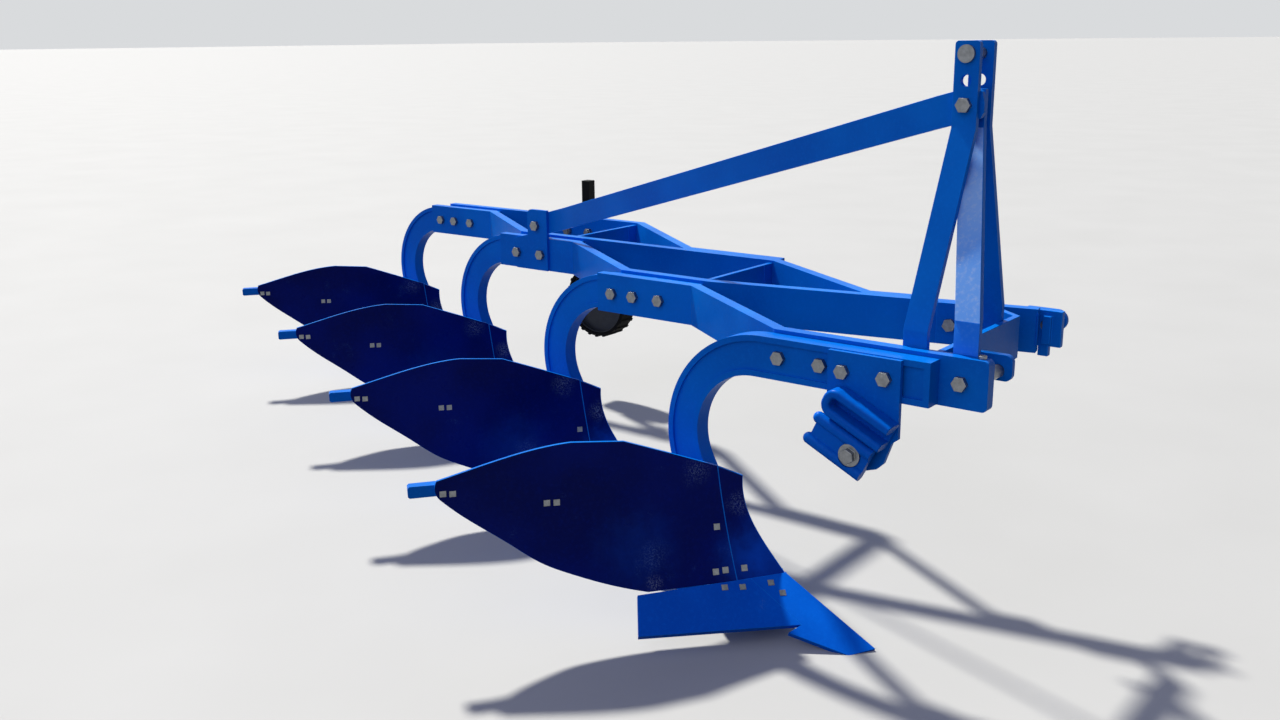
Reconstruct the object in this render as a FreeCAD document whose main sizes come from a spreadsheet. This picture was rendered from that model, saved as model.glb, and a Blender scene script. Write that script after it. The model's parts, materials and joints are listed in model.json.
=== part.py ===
# Four-furrow mounted plough. Millimetres, +X the way it travels, +Y its left side, +Z up.
# The sizes are worked out from the tip of the first point, the leg's mid-plane and the ground,
# and every piece is then placed so that the origin lies under the middle of the whole plough.
import FreeCAD, Part
import math
import os

import Sketcher

Vector = FreeCAD.Vector

# Millimetres, or degrees where the name ends in turn.
SIZES = {
    "origin_x": -1452.937,
    "origin_y": 350.84,
    "overrun": 20,
    "same_place": 0.01,
    "body_step_x": 760,
    "body_step_y": 380,
    "leg_thick": 46,
    "leg_arm_top": 715,
    "leg_arm_depth": 98,
    "leg_arc_x": -298,
    "leg_arc_radius": 264,
    "leg_inner_radius": 160,
    "leg_lean_turn": 28,
    "leg_foot_wide": 92,
    "leg_foot_z": 130,
    "leg_1_reach": 120,
    "leg_reach": 2,
    "leg_recess_deep": 7,
    "leg_recess_border": 14,
    "leg_recess_stop": 150,
    "leg_bolt_z": 669,
    "leg_1_bolt_a": 252,
    "leg_1_bolt_b": 144,
    "leg_1_bolt_c": 78,
    "leg_1_bolt_d": -23,
    "leg_bolt_a": 263,
    "leg_bolt_b": 186,
    "leg_bolt_c": 95,
    "bracket_bolt_a": 225,
    "bracket_bolt_b": 117,
    "beam_top": 724,
    "beam_depth": 110,
    "beam_thick": 30,
    "crank_front_x": 290,
    "crank_rear_x": 745,
    "beam_rear_x": 1078,
    "beam_1_front": 228,
    "beam_2_bend": 20,
    "beam_2_front": 882,
    "beam_2_flare": 169,
    "beam_3_bend": 750,
    "beam_3_foot_x": 1200,
    "beam_3_foot_long": 125,
    "stiffener_rear": 2570,
    "stiffener_bend_rear": 1590,
    "stiffener_bend_front": 1125,
    "stiffener_front": 767,
    "strut_thick": 15,
    "strut_depth": 96,
    "strut_front_x": 787,
    "strut_rear_x": 1608,
    "cross_plate_x": 98,
    "cross_plate_thick": 15,
    "cross_plate_depth": 104,
    "cross_corner_y": 480,
    "cross_foot_x": 20,
    "cross_foot_long": 140,
    "cross_bolt_back": 106,
    "bar_width": 56,
    "bar_thick": 15,
    "mast_x": 63,
    "mast_top": 1363,
    "mast_near_y": 205,
    "mast_spread": 90,
    "mast_bend_z": 1180,
    "pin_z": 1336,
    "spare_pin_z": 1280,
    "mast_bolt_z": 1229,
    "right_foot_x": 46,
    "right_foot_z": 640,
    "right_rebend_z": 760,
    "middle_top": 1262,
    "middle_y": 248,
    "middle_foot_x": 162,
    "middle_bolt_x": 168,
    "middle_foot_z": 640,
    "middle_rebend_z": 795,
    "left_foot_x": 70,
    "left_foot_y": 400,
    "left_rebend_z": 760,
    "link_pin_diameter": 25,
    "link_pin_head": 38,
    "link_pin_head_thick": 8,
    "link_pin_tail": 26,
    "link_pin_play": 0.1,
    "linch_wire": 7,
    "linch_setback": 12,
    "linch_play": 0.05,
    "linch_play_below": 9,
    "linch_long": 46,
    "linch_ring": 26,
    "linch_ring_wire": 4,
    "stay_width": 70,
    "stay_thick": 15,
    "stay_rear_x": 1657,
    "stay_rear_z": 766,
    "stay_tab": 110,
    "stay_front_tab": 70,
    "stay_end": 38,
    "bracket_thick": 12,
    "bracket_left": 1764,
    "bracket_right": 1608,
    "bracket_low": 615,
    "bracket_top": 820,
    "bracket_step_z": 715,
    "bracket_step_x": 1695,
    "bracket_corner": 18,
    "skim_left": 116,
    "skim_right": 59,
    "skim_thick": 12,
    "skim_top": 713,
    "skim_low_z": 452,
    "skim_slope_turn": 25.5,
    "saddle_x": -87,
    "saddle_z": 647.4,
    "saddle_long": 166,
    "saddle_wall": 10,
    "saddle_tall": 66,
    "saddle_proud": 48,
    "saddle_rib": 20,
    "saddle_round": 30,
    "saddle_crest": 8,
    "jaw_gap": 6,
    "jaw_tall": 84,
    "jaw_thick": 14,
    "jaw_rib": 27,
    "jaw_ridge": 8,
    "jaw_seat": 22,
    "jaw_rest": 0.3,
    "jaw_lead": 3,
    "jaw_long": 158,
    "jaw_foot_start": 60,
    "jaw_foot_long": 90,
    "jaw_foot_thick": 12,
    "jaw_slack": 0.1,
    "clamp_bolt_diameter": 20,
    "clamp_bolt_along": 112,
    "clamp_bolt_down": 114,
    "clamp_nut_flats": 30,
    "clamp_ring": 52,
    "clamp_ring_thick": 6,
    "bolt_diameter": 20,
    "bolt_flats": 30,
    "bolt_head": 12.5,
    "nut_thick": 16,
    "bolt_play": 0.5,
    "bolt_tail": 5,
    "washer_diameter": 37,
    "thread_play": 0.05,
    "hitch_pin_diameter": 28.4,
    "hitch_pin_z": 680,
    "hitch_right_x": 205,
    "hitch_seat": 22,
    "hitch_ear_y": 128,
    "hitch_ear_thick": 16,
    "hitch_ear_front": 236,
    "hitch_ear_low": 658,
    "hitch_ear_tall": 58,
    "hitch_ear_round": 16,
    "hitch_head": 40,
    "hitch_head_thick": 8,
    "keeper_diameter": 8,
    "keeper_setback": 11,
    "keeper_head": 18,
    "keeper_head_tall": 7,
    "keeper_play": 0.05,
    "keeper_tail": 5,
    "left_hitch_x": 133,
    "left_hitch_rear": 62,
    "left_hitch_front": 172,
    "left_hitch_near": 606,
    "left_hitch_gap": 52,
    "left_hitch_wall": 14,
    "left_hitch_low": 628,
    "left_hitch_tall": 90,
    "left_hitch_round": 27,
    "left_hitch_web": 14,
    "left_toe_low": 602,
    "left_toe_front": 142,
    "left_strap_x": 127,
    "left_strap_wide": 21,
    "left_strap_low": 635,
    "left_strap_tall": 70,
    "left_strap_proud": 9,
    "point_tip_x": 1,
    "point_tip_z": 9,
    "share_edge_turn": 46.3,
    "share_tilt_turn": 35.4,
    "share_length": 545,
    "share_rise": 211,
    "share_thick": 14,
    "point_thick": 14,
    "share_pad": 10,
    "share_pad_low": 140,
    "share_pad_up": 80,
    "share_pad_start": 165,
    "share_pad_long": 190,
    "plough_bolt_head": 15,
    "plough_bolt_proud": 1,
    "plough_bolt_deep": 3,
    "plough_bolt_shank": 10,
    "plough_bolt_tail": 4,
    "plough_nut": 17,
    "plough_nut_thick": 10,
    "plough_bolt_play": 0.3,
    "nut_room": 21,
    "nut_room_deep": 40,
    "board_thick": 8,
    "board_gap": 0.4,
    "board_length": 953,
    "board_height": 487,
    "board_setback": 278,
    "board_hollow": 71,
    "board_mid_z": 410,
    "board_span_z": 290,
    "board_twist": 0.0003,
    "board_twist_z": 300,
    "board_twist_along": 260,
    "board_turn": 51.5,
    "landside_thick": 12,
    "landside_out": 24,
    "landside_low": 0,
    "landside_tall": 112,
    "landside_rear": 760,
    "landside_front": 262,
    "frog_web": 14,
    "frog_low": 22,
    "frog_tall": 330,
    "frog_rear": 452,
    "frog_front": 236,
    "frog_tier": 190,
    "frog_cheek_half": 56,
    "frog_pad": 8,
    "frog_rib": 34,
    "frog_space": 200,
    "frog_clear": 0.4,
    "frog_bolt_diameter": 16,
    "frog_bolt_flats": 24,
    "frog_bolt_z_a": 165,
    "frog_bolt_z_b": 245,
    "tail_long": 147,
    "tail_tall": 28,
    "tail_thick": 30,
    "tail_end": 1012,
    "tail_corner": 4,
    "brace_thick": 10,
    "brace_tall": 36,
    "brace_foot": 60,
    "brace_sink": 3,
    "wheel_x": 1872,
    "wheel_z": 386,
    "wheel_radius": 145,
    "wheel_width": 75,
    "tyre_thick": 17,
    "tyre_lug": 5,
    "tyre_play": 0.3,
    "lug_width": 12,
    "rim_thick": 4,
    "rim_width": 60,
    "disc_thick": 10,
    "disc_dish": 18,
    "disc_place": 20,
    "hub_diameter": 62,
    "hub_long": 70,
    "hub_gap": 0.4,
    "axle_diameter": 30,
    "axle_play": 0.05,
    "axle_collar": 44,
    "axle_collar_thick": 10,
    "axle_cap": 46,
    "axle_cap_thick": 7,
    "stem_side": 35,
    "stem_top": 856,
    "stem_heel": 25,
    "stem_play": 0.05,
    "clamp_plate": 12,
    "clamp_wall": 12,
    "clamp_wing": 45,
    "clamp_tall": 90,
    "screw_diameter": 16,
    "screw_head": 24,
    "screw_head_thick": 10,
    "screw_tail": 14,
}

document = FreeCAD.newDocument("plough")
sheet = document.addObject("Spreadsheet::Sheet", "sizes")
for number, (alias, amount) in enumerate(SIZES.items(), start=1):
    sheet.set(f"A{number}", alias)
    sheet.set(f"B{number}", str(amount))
    sheet.setAlias(f"B{number}", alias)
document.recompute()


# A size holds its value and the expression on the sheet that gives it.
class Size:
    def __init__(self, value, text):
        self.value = float(value)
        self.text = text

    def __add__(self, other):
        other = as_size(other)
        return Size(self.value + other.value, f"({self.text} + {other.text})")

    def __sub__(self, other):
        other = as_size(other)
        return Size(self.value - other.value, f"({self.text} - {other.text})")

    def __mul__(self, other):
        other = as_size(other)
        return Size(self.value * other.value, f"({self.text} * {other.text})")

    def __truediv__(self, other):
        other = as_size(other)
        return Size(self.value / other.value, f"({self.text} / {other.text})")

    def __rmul__(self, other):
        return as_size(other) * self

    def __radd__(self, other):
        return as_size(other) + self

    def __rsub__(self, other):
        return as_size(other) - self

    def __neg__(self):
        return Size(-self.value, f"(0 - {self.text})")

    def __float__(self):
        return self.value


def as_size(amount):
    return amount if isinstance(amount, Size) else Size(amount, repr(float(amount)))


def root(amount):
    return Size(math.sqrt(amount.value), f"sqrt({amount.text})")


def cosine(turn):
    return Size(math.cos(math.radians(turn.value)), f"cos({turn.text} * 1 deg)")


def sine(turn):
    return Size(math.sin(math.radians(turn.value)), f"sin({turn.text} * 1 deg)")


class Sheet:
    def __getattr__(self, alias):
        return Size(sheet.get(alias), f"sizes.{alias}")


s = Sheet()


def bind(target, path, amount):
    target.setExpression(path, as_size(amount).text)


# Sketches, pads and pockets.
def origin_plane(body, role):
    return [plane for plane in body.Origin.OriginFeatures if plane.Role == role][0]


def draw_loop(sketch, corners):
    """Adds one closed outline of straight sides to the sketch."""
    first = sketch.GeometryCount
    count = len(corners)
    places = [Vector(float(across), float(up), 0) for across, up in corners]
    for index in range(count):
        sketch.addGeometry(Part.LineSegment(places[index], places[(index + 1) % count]), False)
    for index in range(count):
        after = first + (index + 1) % count
        sketch.addConstraint(Sketcher.Constraint("Coincident", first + index, 2, after, 1))
    for index, corner in enumerate(corners):
        for kind, amount in zip(("DistanceX", "DistanceY"), corner):
            rule = Sketcher.Constraint(kind, -1, 1, first + index, 1, float(amount))
            place = sketch.addConstraint(rule)
            if isinstance(amount, Size):
                sketch.setExpression(f"Constraints[{place}]", amount.text)


def draw_circle(sketch, across, up, diameter):
    centre = Vector(float(across), float(up), 0)
    index = sketch.addGeometry(Part.Circle(centre, Vector(0, 0, 1), float(diameter) / 2), False)
    for kind, amount in (("DistanceX", across), ("DistanceY", up)):
        rule = Sketcher.Constraint(kind, -1, 1, index, 3, float(amount))
        place = sketch.addConstraint(rule)
        if isinstance(amount, Size):
            sketch.setExpression(f"Constraints[{place}]", amount.text)
    place = sketch.addConstraint(Sketcher.Constraint("Diameter", index, float(diameter)))
    sketch.setExpression(f"Constraints[{place}]", diameter.text)


def new_sketch(body, role, loops=(), circles=(), offset=None):
    sketch = body.newObject("Sketcher::SketchObject", body.Name + "_sketch")
    sketch.AttachmentSupport = [(origin_plane(body, role), "")]
    sketch.MapMode = "FlatFace"
    if offset is not None:
        bind(sketch, "AttachmentOffset.Base.z", offset)
    for corners in loops:
        draw_loop(sketch, corners)
    for circle in circles:
        draw_circle(sketch, *circle)
    return sketch


def new_body(name, place=(0, 0, 0)):
    body = document.addObject("PartDesign::Body", name)
    body.Label = name
    put(body, place)
    return body


def put(target, place, turn=None):
    """Places a piece by its own origin, measured from the tip of the first point."""
    if turn is not None:
        target.Placement = FreeCAD.Placement(Vector(), turn)
    east, north, up = [as_size(amount) for amount in place]
    bind(target, "Placement.Base.x", east - s.origin_x)
    bind(target, "Placement.Base.y", north - s.origin_y)
    bind(target, "Placement.Base.z", up)


def pad(body, role, loops, length, offset=None, both=False, back=False):
    sketch = new_sketch(body, role, loops, offset=offset)
    feature = body.newObject("PartDesign::Pad", body.Name + "_pad")
    feature.Profile = sketch
    feature.SideType = "Symmetric" if both else "One side"
    feature.Reversed = back
    bind(feature, "Length", length)
    document.recompute()
    return feature


def cut(body, role, loops=(), circles=(), offset=None, deep=None, back=False):
    """Cuts right through, or as deep as told from the offset plane, and checks that it cut."""
    before = body.Shape.Volume
    sketch = new_sketch(body, role, loops, circles, offset)
    feature = body.newObject("PartDesign::Pocket", body.Name + "_pocket")
    feature.Profile = sketch
    if deep is None:
        feature.SideType = "Symmetric"
        feature.Type = "ThroughAll"
    else:
        feature.Reversed = back
        bind(feature, "Length", deep)
    document.recompute()
    if not body.Shape.Volume < before:
        raise RuntimeError(f"{body.Label}: a pocket cut nothing")
    return feature


def round_corners(body, role, corners, radius):
    """Rounds the straight edges that run square to the plane through the given corners."""
    axes = {"XY_Plane": ("x", "y"), "XZ_Plane": ("x", "z"), "YZ_Plane": ("y", "z")}[role]
    base = body.Tip
    names = []
    for number, edge in enumerate(base.Shape.Edges, start=1):
        ends = [vertex.Point for vertex in edge.Vertexes]
        if len(ends) < 2:
            continue
        for across, up in corners:
            spans = [abs(getattr(end, axes[0]) - float(across)) for end in ends]
            rises = [abs(getattr(end, axes[1]) - float(up)) for end in ends]
            if max(spans + rises) < float(s.same_place):
                names.append(f"Edge{number}")
    if not names:
        raise RuntimeError(f"{body.Label}: no edge to round")
    feature = body.newObject("PartDesign::Fillet", body.Name + "_round")
    feature.Base = (base, names)
    bind(feature, "Radius", radius)
    document.recompute()
    return feature


# Plain extrusions and booleans, for bent flat bars and small pieces.
TURNS = {
    "XY": FreeCAD.Rotation(),
    "XZ": FreeCAD.Rotation(Vector(1, 0, 0), 90),
    "YZ": FreeCAD.Rotation(Vector(0, 1, 0), Vector(0, 0, 1), Vector(1, 0, 0), "XYZ"),
}
TRAVEL = {"XY": Vector(0, 0, 1), "XZ": Vector(0, 1, 0), "YZ": Vector(1, 0, 0)}


def prism(name, plane, corners, start, length):
    """An outline on a plane at start, carried along the plane's positive axis by length."""
    sketch = document.addObject("Sketcher::SketchObject", name + "_sketch")
    sketch.Placement = FreeCAD.Placement(Vector(), TURNS[plane])
    axis = {"XY": "z", "XZ": "y", "YZ": "x"}[plane]
    bind(sketch, f"Placement.Base.{axis}", start)
    draw_loop(sketch, corners)
    solid = document.addObject("Part::Extrusion", name + "_prism")
    solid.Base = sketch
    solid.DirMode = "Custom"
    solid.Dir = TRAVEL[plane]
    solid.Solid = True
    bind(solid, "LengthFwd", length)
    return solid


def rod(name, axis, centre, start, length, diameter):
    """A round bar along an axis; centre gives its other two coordinates in their own order."""
    turn = {"x": FreeCAD.Rotation(Vector(0, 0, 1), Vector(1, 0, 0)),
            "y": FreeCAD.Rotation(Vector(0, 0, 1), Vector(0, 1, 0)),
            "z": FreeCAD.Rotation()}[axis]
    solid = document.addObject("Part::Cylinder", name)
    solid.Placement = FreeCAD.Placement(Vector(), turn)
    bind(solid, "Radius", diameter / 2)
    bind(solid, "Height", length)
    rest = [letter for letter in "xyz" if letter != axis]
    bind(solid, f"Placement.Base.{axis}", start)
    for letter, amount in zip(rest, centre):
        bind(solid, f"Placement.Base.{letter}", amount)
    return solid


def hexagon(name, axis, centre, start, length, flats):
    solid = document.addObject("Part::Prism", name)
    turn = {"y": FreeCAD.Rotation(Vector(0, 0, 1), Vector(0, 1, 0)),
            "x": FreeCAD.Rotation(Vector(0, 0, 1), Vector(1, 0, 0)),
            "z": FreeCAD.Rotation()}[axis]
    solid.Placement = FreeCAD.Placement(Vector(), turn)
    solid.Polygon = 6
    bind(solid, "Circumradius", flats / root(as_size(3)))
    bind(solid, "Height", length)
    rest = [letter for letter in "xyz" if letter != axis]
    bind(solid, f"Placement.Base.{axis}", start)
    for letter, amount in zip(rest, centre):
        bind(solid, f"Placement.Base.{letter}", amount)
    return solid


def block(name, low, span):
    solid = document.addObject("Part::Box", name)
    for letter, amount in zip("xyz", low):
        bind(solid, f"Placement.Base.{letter}", amount)
    for side, amount in zip(("Length", "Width", "Height"), span):
        bind(solid, side, amount)
    return solid


def fused(name, parts):
    whole = document.addObject("Part::MultiFuse", name)
    whole.Shapes = parts
    whole.Refine = True
    return whole


def taken(name, base, tool):
    rest = document.addObject("Part::Cut", name)
    rest.Base = base
    rest.Tool = tool
    rest.Refine = True
    return rest


def shared(name, base, tool):
    both = document.addObject("Part::Common", name)
    both.Base = base
    both.Tool = tool
    return both


def gathered(name, parts):
    group = document.addObject("Part::Compound", name)
    group.Links = parts
    return group


def label(piece, name):
    """Names a sub-part and moves it so that the origin is under the plough's middle."""
    piece.Label = name
    put(piece, (0, 0, 0))
    SUB_PARTS.append(piece)
    return piece


SUB_PARTS = []


# A strip of constant thickness along a bent line, in plan or in elevation.
def unit(start, end):
    across, up = end[0] - start[0], end[1] - start[1]
    length = root(across * across + up * up)
    return across / length, up / length


def strip(line, thick):
    """The outline of a bent flat bar whose one face follows the line; the other is to its left."""
    steps = [unit(start, end) for start, end in zip(line, line[1:])]
    normals = [(-up, across) for across, up in steps]
    corners = []
    for index, point in enumerate(line):
        before = normals[max(index - 1, 0)]
        after = normals[min(index, len(normals) - 1)]
        share = 1 + before[0] * after[0] + before[1] * after[1]
        corners.append((point[0] + thick * (before[0] + after[0]) / share,
                        point[1] + thick * (before[1] + after[1]) / share))
    return list(line) + corners[::-1]


# Places shared by all four bodies
FACE = s.leg_thick / 2
BEAM_FAR = FACE + s.beam_thick
BEAM_LOW = s.beam_top - s.beam_depth
REAR_SHIFT = s.body_step_y - FACE - s.beam_thick
BOLT_HOLE = s.bolt_diameter + 2 * s.bolt_play
FROG_HOLE = s.frog_bolt_diameter + 2 * s.bolt_play
HITCH_HOLE = s.hitch_pin_diameter + 2 * s.thread_play
SKIM_FACE = -(FACE + s.skim_thick)


def body_place(number):
    return -(number * s.body_step_x), number * s.body_step_y


def moved(points, number):
    east, north = body_place(number)
    return [(across + east, up + north) for across, up in points]


# The legs: an arm, a quarter bend and a foot that slopes down and forward
def leg_outline(reach, inset, foot):
    """The leg's side view with square corners, drawn in by inset on its long sides."""
    half_turn = (90 + s.leg_lean_turn) / 2
    pull = sine(half_turn) / cosine(half_turn)
    lean = sine(s.leg_lean_turn) / cosine(s.leg_lean_turn)
    outer = s.leg_arc_radius - inset
    inner = s.leg_inner_radius + inset
    top = s.leg_arm_top - inset
    low = s.leg_arm_top - s.leg_arm_depth + inset
    rear = s.leg_arc_x - outer * pull
    across = (s.leg_foot_wide - inset) / cosine(s.leg_lean_turn)
    front = s.leg_arc_x - s.leg_arc_radius * pull + (s.leg_arm_top - low) * lean + across
    corners = [
        (reach, top),
        (rear, top),
        (rear + (top - foot) * lean, foot),
        (front + (low - foot) * lean, foot),
        (front, low),
        (reach, low),
    ]
    return corners, outer, inner


def foot_centre(up):
    """The middle of the leg's foot at a height."""
    corners = leg_outline(s.leg_reach, as_size(0), up)[0]
    return (corners[2][0] + corners[3][0]) / 2


def leg_bolts(number):
    if number == 0:
        places = (s.leg_1_bolt_a, s.leg_1_bolt_b, s.leg_1_bolt_c, s.leg_1_bolt_d)
    elif number == 2:
        places = (s.bracket_bolt_a, s.bracket_bolt_b)
    else:
        places = (s.leg_bolt_a, s.leg_bolt_b, s.leg_bolt_c)
    return [-place for place in places]


FROG_BOLTS = [(foot_centre(up), up) for up in (s.frog_bolt_z_a, s.frog_bolt_z_b)]


def make_leg(number):
    east, north = body_place(number)
    reach = s.leg_1_reach if number == 0 else s.leg_reach
    leg = new_body(f"leg_{number + 1}", (east, north, 0))
    corners, outer, inner = leg_outline(reach, as_size(0), s.leg_foot_z)
    pad(leg, "XZ_Plane", [corners], s.leg_thick, both=True)
    stop = reach - s.leg_recess_border
    recess, small, large = leg_outline(stop, s.leg_recess_border, s.leg_recess_stop)
    for side, back in ((FACE, False), (-FACE, True)):
        cut(leg, "XZ_Plane", [recess], offset=side, deep=s.leg_recess_deep, back=back)
    round_corners(leg, "XZ_Plane", [recess[1]], small)
    round_corners(leg, "XZ_Plane", [recess[4]], large)
    round_corners(leg, "XZ_Plane", [corners[1]], outer)
    round_corners(leg, "XZ_Plane", [corners[4]], inner)
    holes = [(place, s.leg_bolt_z, BOLT_HOLE) for place in leg_bolts(number)]
    holes += [(across, up, FROG_HOLE) for across, up in FROG_BOLTS]
    cut(leg, "XZ_Plane", circles=holes)
    SUB_PARTS.append(leg)


# The beams: flat bars on edge, cranked from one leg's far side to the next leg's near side.
# Each line is the near face, in its own body's places, from the rear end forward.
def crank_line():
    return [(-s.beam_rear_x, REAR_SHIFT), (-s.crank_rear_x, REAR_SHIFT), (-s.crank_front_x, FACE)]


def flare_line():
    return [(s.beam_2_bend, FACE), (s.beam_2_front, FACE + s.beam_2_flare)]


def flare_unit():
    start, end = flare_line()
    return unit(start, end)


def flare_place(east, aside):
    """The point of the second beam's flared half at a place along X, aside from its near face."""
    across, up = flare_unit()
    start = moved(flare_line(), 1)[0]
    reach = (east - start[0]) / across
    return east - up * aside, start[1] + reach * up + across * aside


def beam_3_front():
    """From the straight half to the foot that lies on the second beam's far face."""
    across, up = flare_unit()
    east, north = body_place(2)
    far_x, far_y = flare_place(s.beam_3_foot_x + east, s.beam_thick)
    toe = (far_x - east, far_y - north)
    tip = (toe[0] + s.beam_3_foot_long * across, toe[1] + s.beam_3_foot_long * up)
    return [(s.beam_3_bend, FACE), toe, tip]


def less(name, base, tools):
    """A piece less each tool in turn; the last cut is the finished piece."""
    for index, tool in enumerate(tools):
        last = index == len(tools) - 1
        base = taken(name if last else f"{name}_cut_{index}", base, tool)
    return base


def holes_along_y(name, places, diameter=BOLT_HOLE):
    """Rods to cut bolt holes with, all the way through the plough's width at these places."""
    low, high = -s.body_step_y, 4 * s.body_step_y
    rods = [rod(f"{name}_{index}", "y", place, low, high - low, diameter)
            for index, place in enumerate(places)]
    return gathered(name + "_holes", rods) if len(rods) > 1 else rods[0]


def frame_bolt_rows():
    """Every bolt hole square to the beams' straight parts: its place along X and its height."""
    rows = []
    for number in range(4):
        east = body_place(number)[0]
        rows.append([(east + place, s.leg_bolt_z) for place in leg_bolts(number)])
    return rows


ROWS = frame_bolt_rows()


def flare_rod(name, diameter, start, length):
    """A rod square to the second beam's flared half, through the cross plate's foot."""
    across, up = flare_unit()
    centre = flare_place(s.cross_foot_x - s.cross_bolt_back * across, start)
    piece = document.addObject("Part::Cylinder", name)
    set_square_to_flare(piece, centre)
    bind(piece, "Radius", diameter / 2)
    bind(piece, "Height", length)
    return piece


def set_square_to_flare(piece, centre):
    across, up = flare_unit()
    turn = FreeCAD.Rotation(Vector(0, 0, 1), Vector(-up.value, across.value, 0))
    piece.Placement = FreeCAD.Placement(Vector(), turn)
    bind(piece, "Placement.Base.x", centre[0])
    bind(piece, "Placement.Base.y", centre[1])
    bind(piece, "Placement.Base.z", s.leg_bolt_z)


def make_beams():
    fronts = ([(s.beam_1_front, FACE)], flare_line(), beam_3_front())
    for number, front in enumerate(fronts):
        name = f"beam_{number + 1}"
        outline = strip(moved(crank_line() + front, number), s.beam_thick)
        bar = prism(name, "XY", outline, BEAM_LOW, s.beam_depth)
        places = ROWS[number] + ROWS[number + 1]
        if number == 0:
            places = places + [(s.middle_bolt_x, s.leg_bolt_z)]
        tools = [holes_along_y(name, places)]
        if number == 0:
            tools += [right_pin_bore(), keeper_bore("keeper_bore_1"), foot_bolt_bore()]
        if number == 1:
            tools.append(flare_rod("flare_hole", BOLT_HOLE, -s.overrun, s.beam_thick + 2 * s.overrun))
        label(less(name, bar, tools), name)


def right_pin_bore():
    centre = (s.hitch_right_x, s.hitch_pin_z)
    return rod("right_pin_bore", "y", centre, BEAM_FAR - s.hitch_seat, s.hitch_seat + s.overrun,
               HITCH_HOLE)


def keeper_bore(name):
    centre = (s.hitch_right_x, BEAM_FAR - s.keeper_setback)
    low = s.hitch_pin_z - s.hitch_pin_diameter / 2 - s.keeper_tail - s.keeper_play
    return rod(name, "z", centre, low, s.beam_top + s.overrun - low,
               s.keeper_diameter + 2 * s.keeper_play)


def foot_bolt_bore():
    """The tapped hole for the right mast bar's bolt, from the beam's inner face."""
    centre = (s.right_foot_x, s.leg_bolt_z)
    return rod("foot_bolt_bore", "y", centre, FACE, s.beam_thick + s.overrun, BOLT_HOLE)


def make_stiffener():
    """The rear bar: along the fourth leg's far side, then against the third beam's far face."""
    rear_y = body_place(3)[1] + FACE
    front_y = body_place(2)[1] + BEAM_FAR
    line = [(-s.stiffener_rear, rear_y), (-s.stiffener_bend_rear, rear_y),
            (-s.stiffener_bend_front, front_y), (-s.stiffener_front, front_y)]
    bar = prism("rear_stiffener", "XY", strip(line, s.beam_thick), BEAM_LOW, s.beam_depth)
    places = ROWS[3] + [(clamp_bolt_x(side), s.leg_bolt_z) for side in (-1, 1)]
    label(taken("rear_stiffener", bar, holes_along_y("stiffener", places)), "rear_stiffener")


def make_struts():
    middle = BEAM_LOW + (s.beam_depth - s.strut_depth) / 2
    near = body_place(1)[1] + BEAM_FAR
    front = block("front_strut", (-s.strut_front_x, near, middle),
                  (s.strut_thick, body_place(2)[1] + FACE - near, s.strut_depth))
    near = body_place(2)[1] + BEAM_FAR
    rear = block("rear_strut", (-s.strut_rear_x, near, middle),
                 (s.strut_thick, body_place(3)[1] + FACE - near, s.strut_depth))
    label(gathered("frame_struts", [front, rear]), "frame_struts")


# The cross plate: from the first beam's inner face to a foot on the second beam's near face
def cross_line():
    across, up = flare_unit()
    start = flare_place(s.cross_foot_x, as_size(0))
    end = (start[0] - s.cross_foot_long * across, start[1] - s.cross_foot_long * up)
    front = s.cross_plate_x + s.cross_plate_thick
    return [end, start, (front, s.cross_corner_y), (front, BEAM_FAR)]


def make_cross_plate():
    outline = strip(cross_line(), -s.cross_plate_thick)
    plate = prism("cross_plate", "XY", outline, s.beam_top - s.cross_plate_depth,
                  s.cross_plate_depth)
    hole = flare_rod("cross_hole", BOLT_HOLE, -(s.cross_plate_thick + s.overrun),
                     s.cross_plate_thick + 2 * s.overrun)
    label(taken("cross_plate", plate, hole), "cross_plate")


# The mast: bent flat bars, each the overlap of its end view and its side view
def side_outline(stations):
    """A bar's side view from its centre places, top to bottom, all of one width."""
    half = s.bar_width / 2
    return ([(across - half, up) for across, up in stations]
            + [(across + half, up) for across, up in reversed(stations)])


def bent_bar(name, end_line, stations):
    xs = [across.value for across, _ in stations]
    low = [across for across, _ in stations if across.value == min(xs)][0]
    high = [across for across, _ in stations if across.value == max(xs)][0]
    span = high - low + s.bar_width + 2 * s.overrun
    end_view = prism(name + "_end", "YZ", strip(end_line, s.bar_thick),
                     low - s.bar_width / 2 - s.overrun, span)
    ys = [across.value for across, _ in end_line]
    near = [across for across, _ in end_line if across.value == min(ys)][0]
    far = [across for across, _ in end_line if across.value == max(ys)][0]
    side_view = prism(name + "_side", "XZ", side_outline(stations), near - s.overrun,
                      far - near + s.bar_thick + 2 * s.overrun)
    return shared(name + "_bar", end_view, side_view)


MAST_FAR = s.mast_near_y + s.mast_spread - s.bar_thick
PIN_HOLE = s.link_pin_diameter + 2 * s.link_pin_play


def mast_holes(name, low):
    near, long = s.mast_near_y - s.overrun, s.mast_spread + 2 * s.overrun
    rods = [rod(name + "_bolt_hole", "y", (s.mast_x, s.mast_bolt_z), near, long, BOLT_HOLE)]
    if low:
        rods += [rod(f"{name}_pin_hole_{index}", "y", (s.mast_x, up), near, long, PIN_HOLE)
                 for index, up in enumerate((s.spare_pin_z, s.pin_z))]
    return rods


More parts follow.
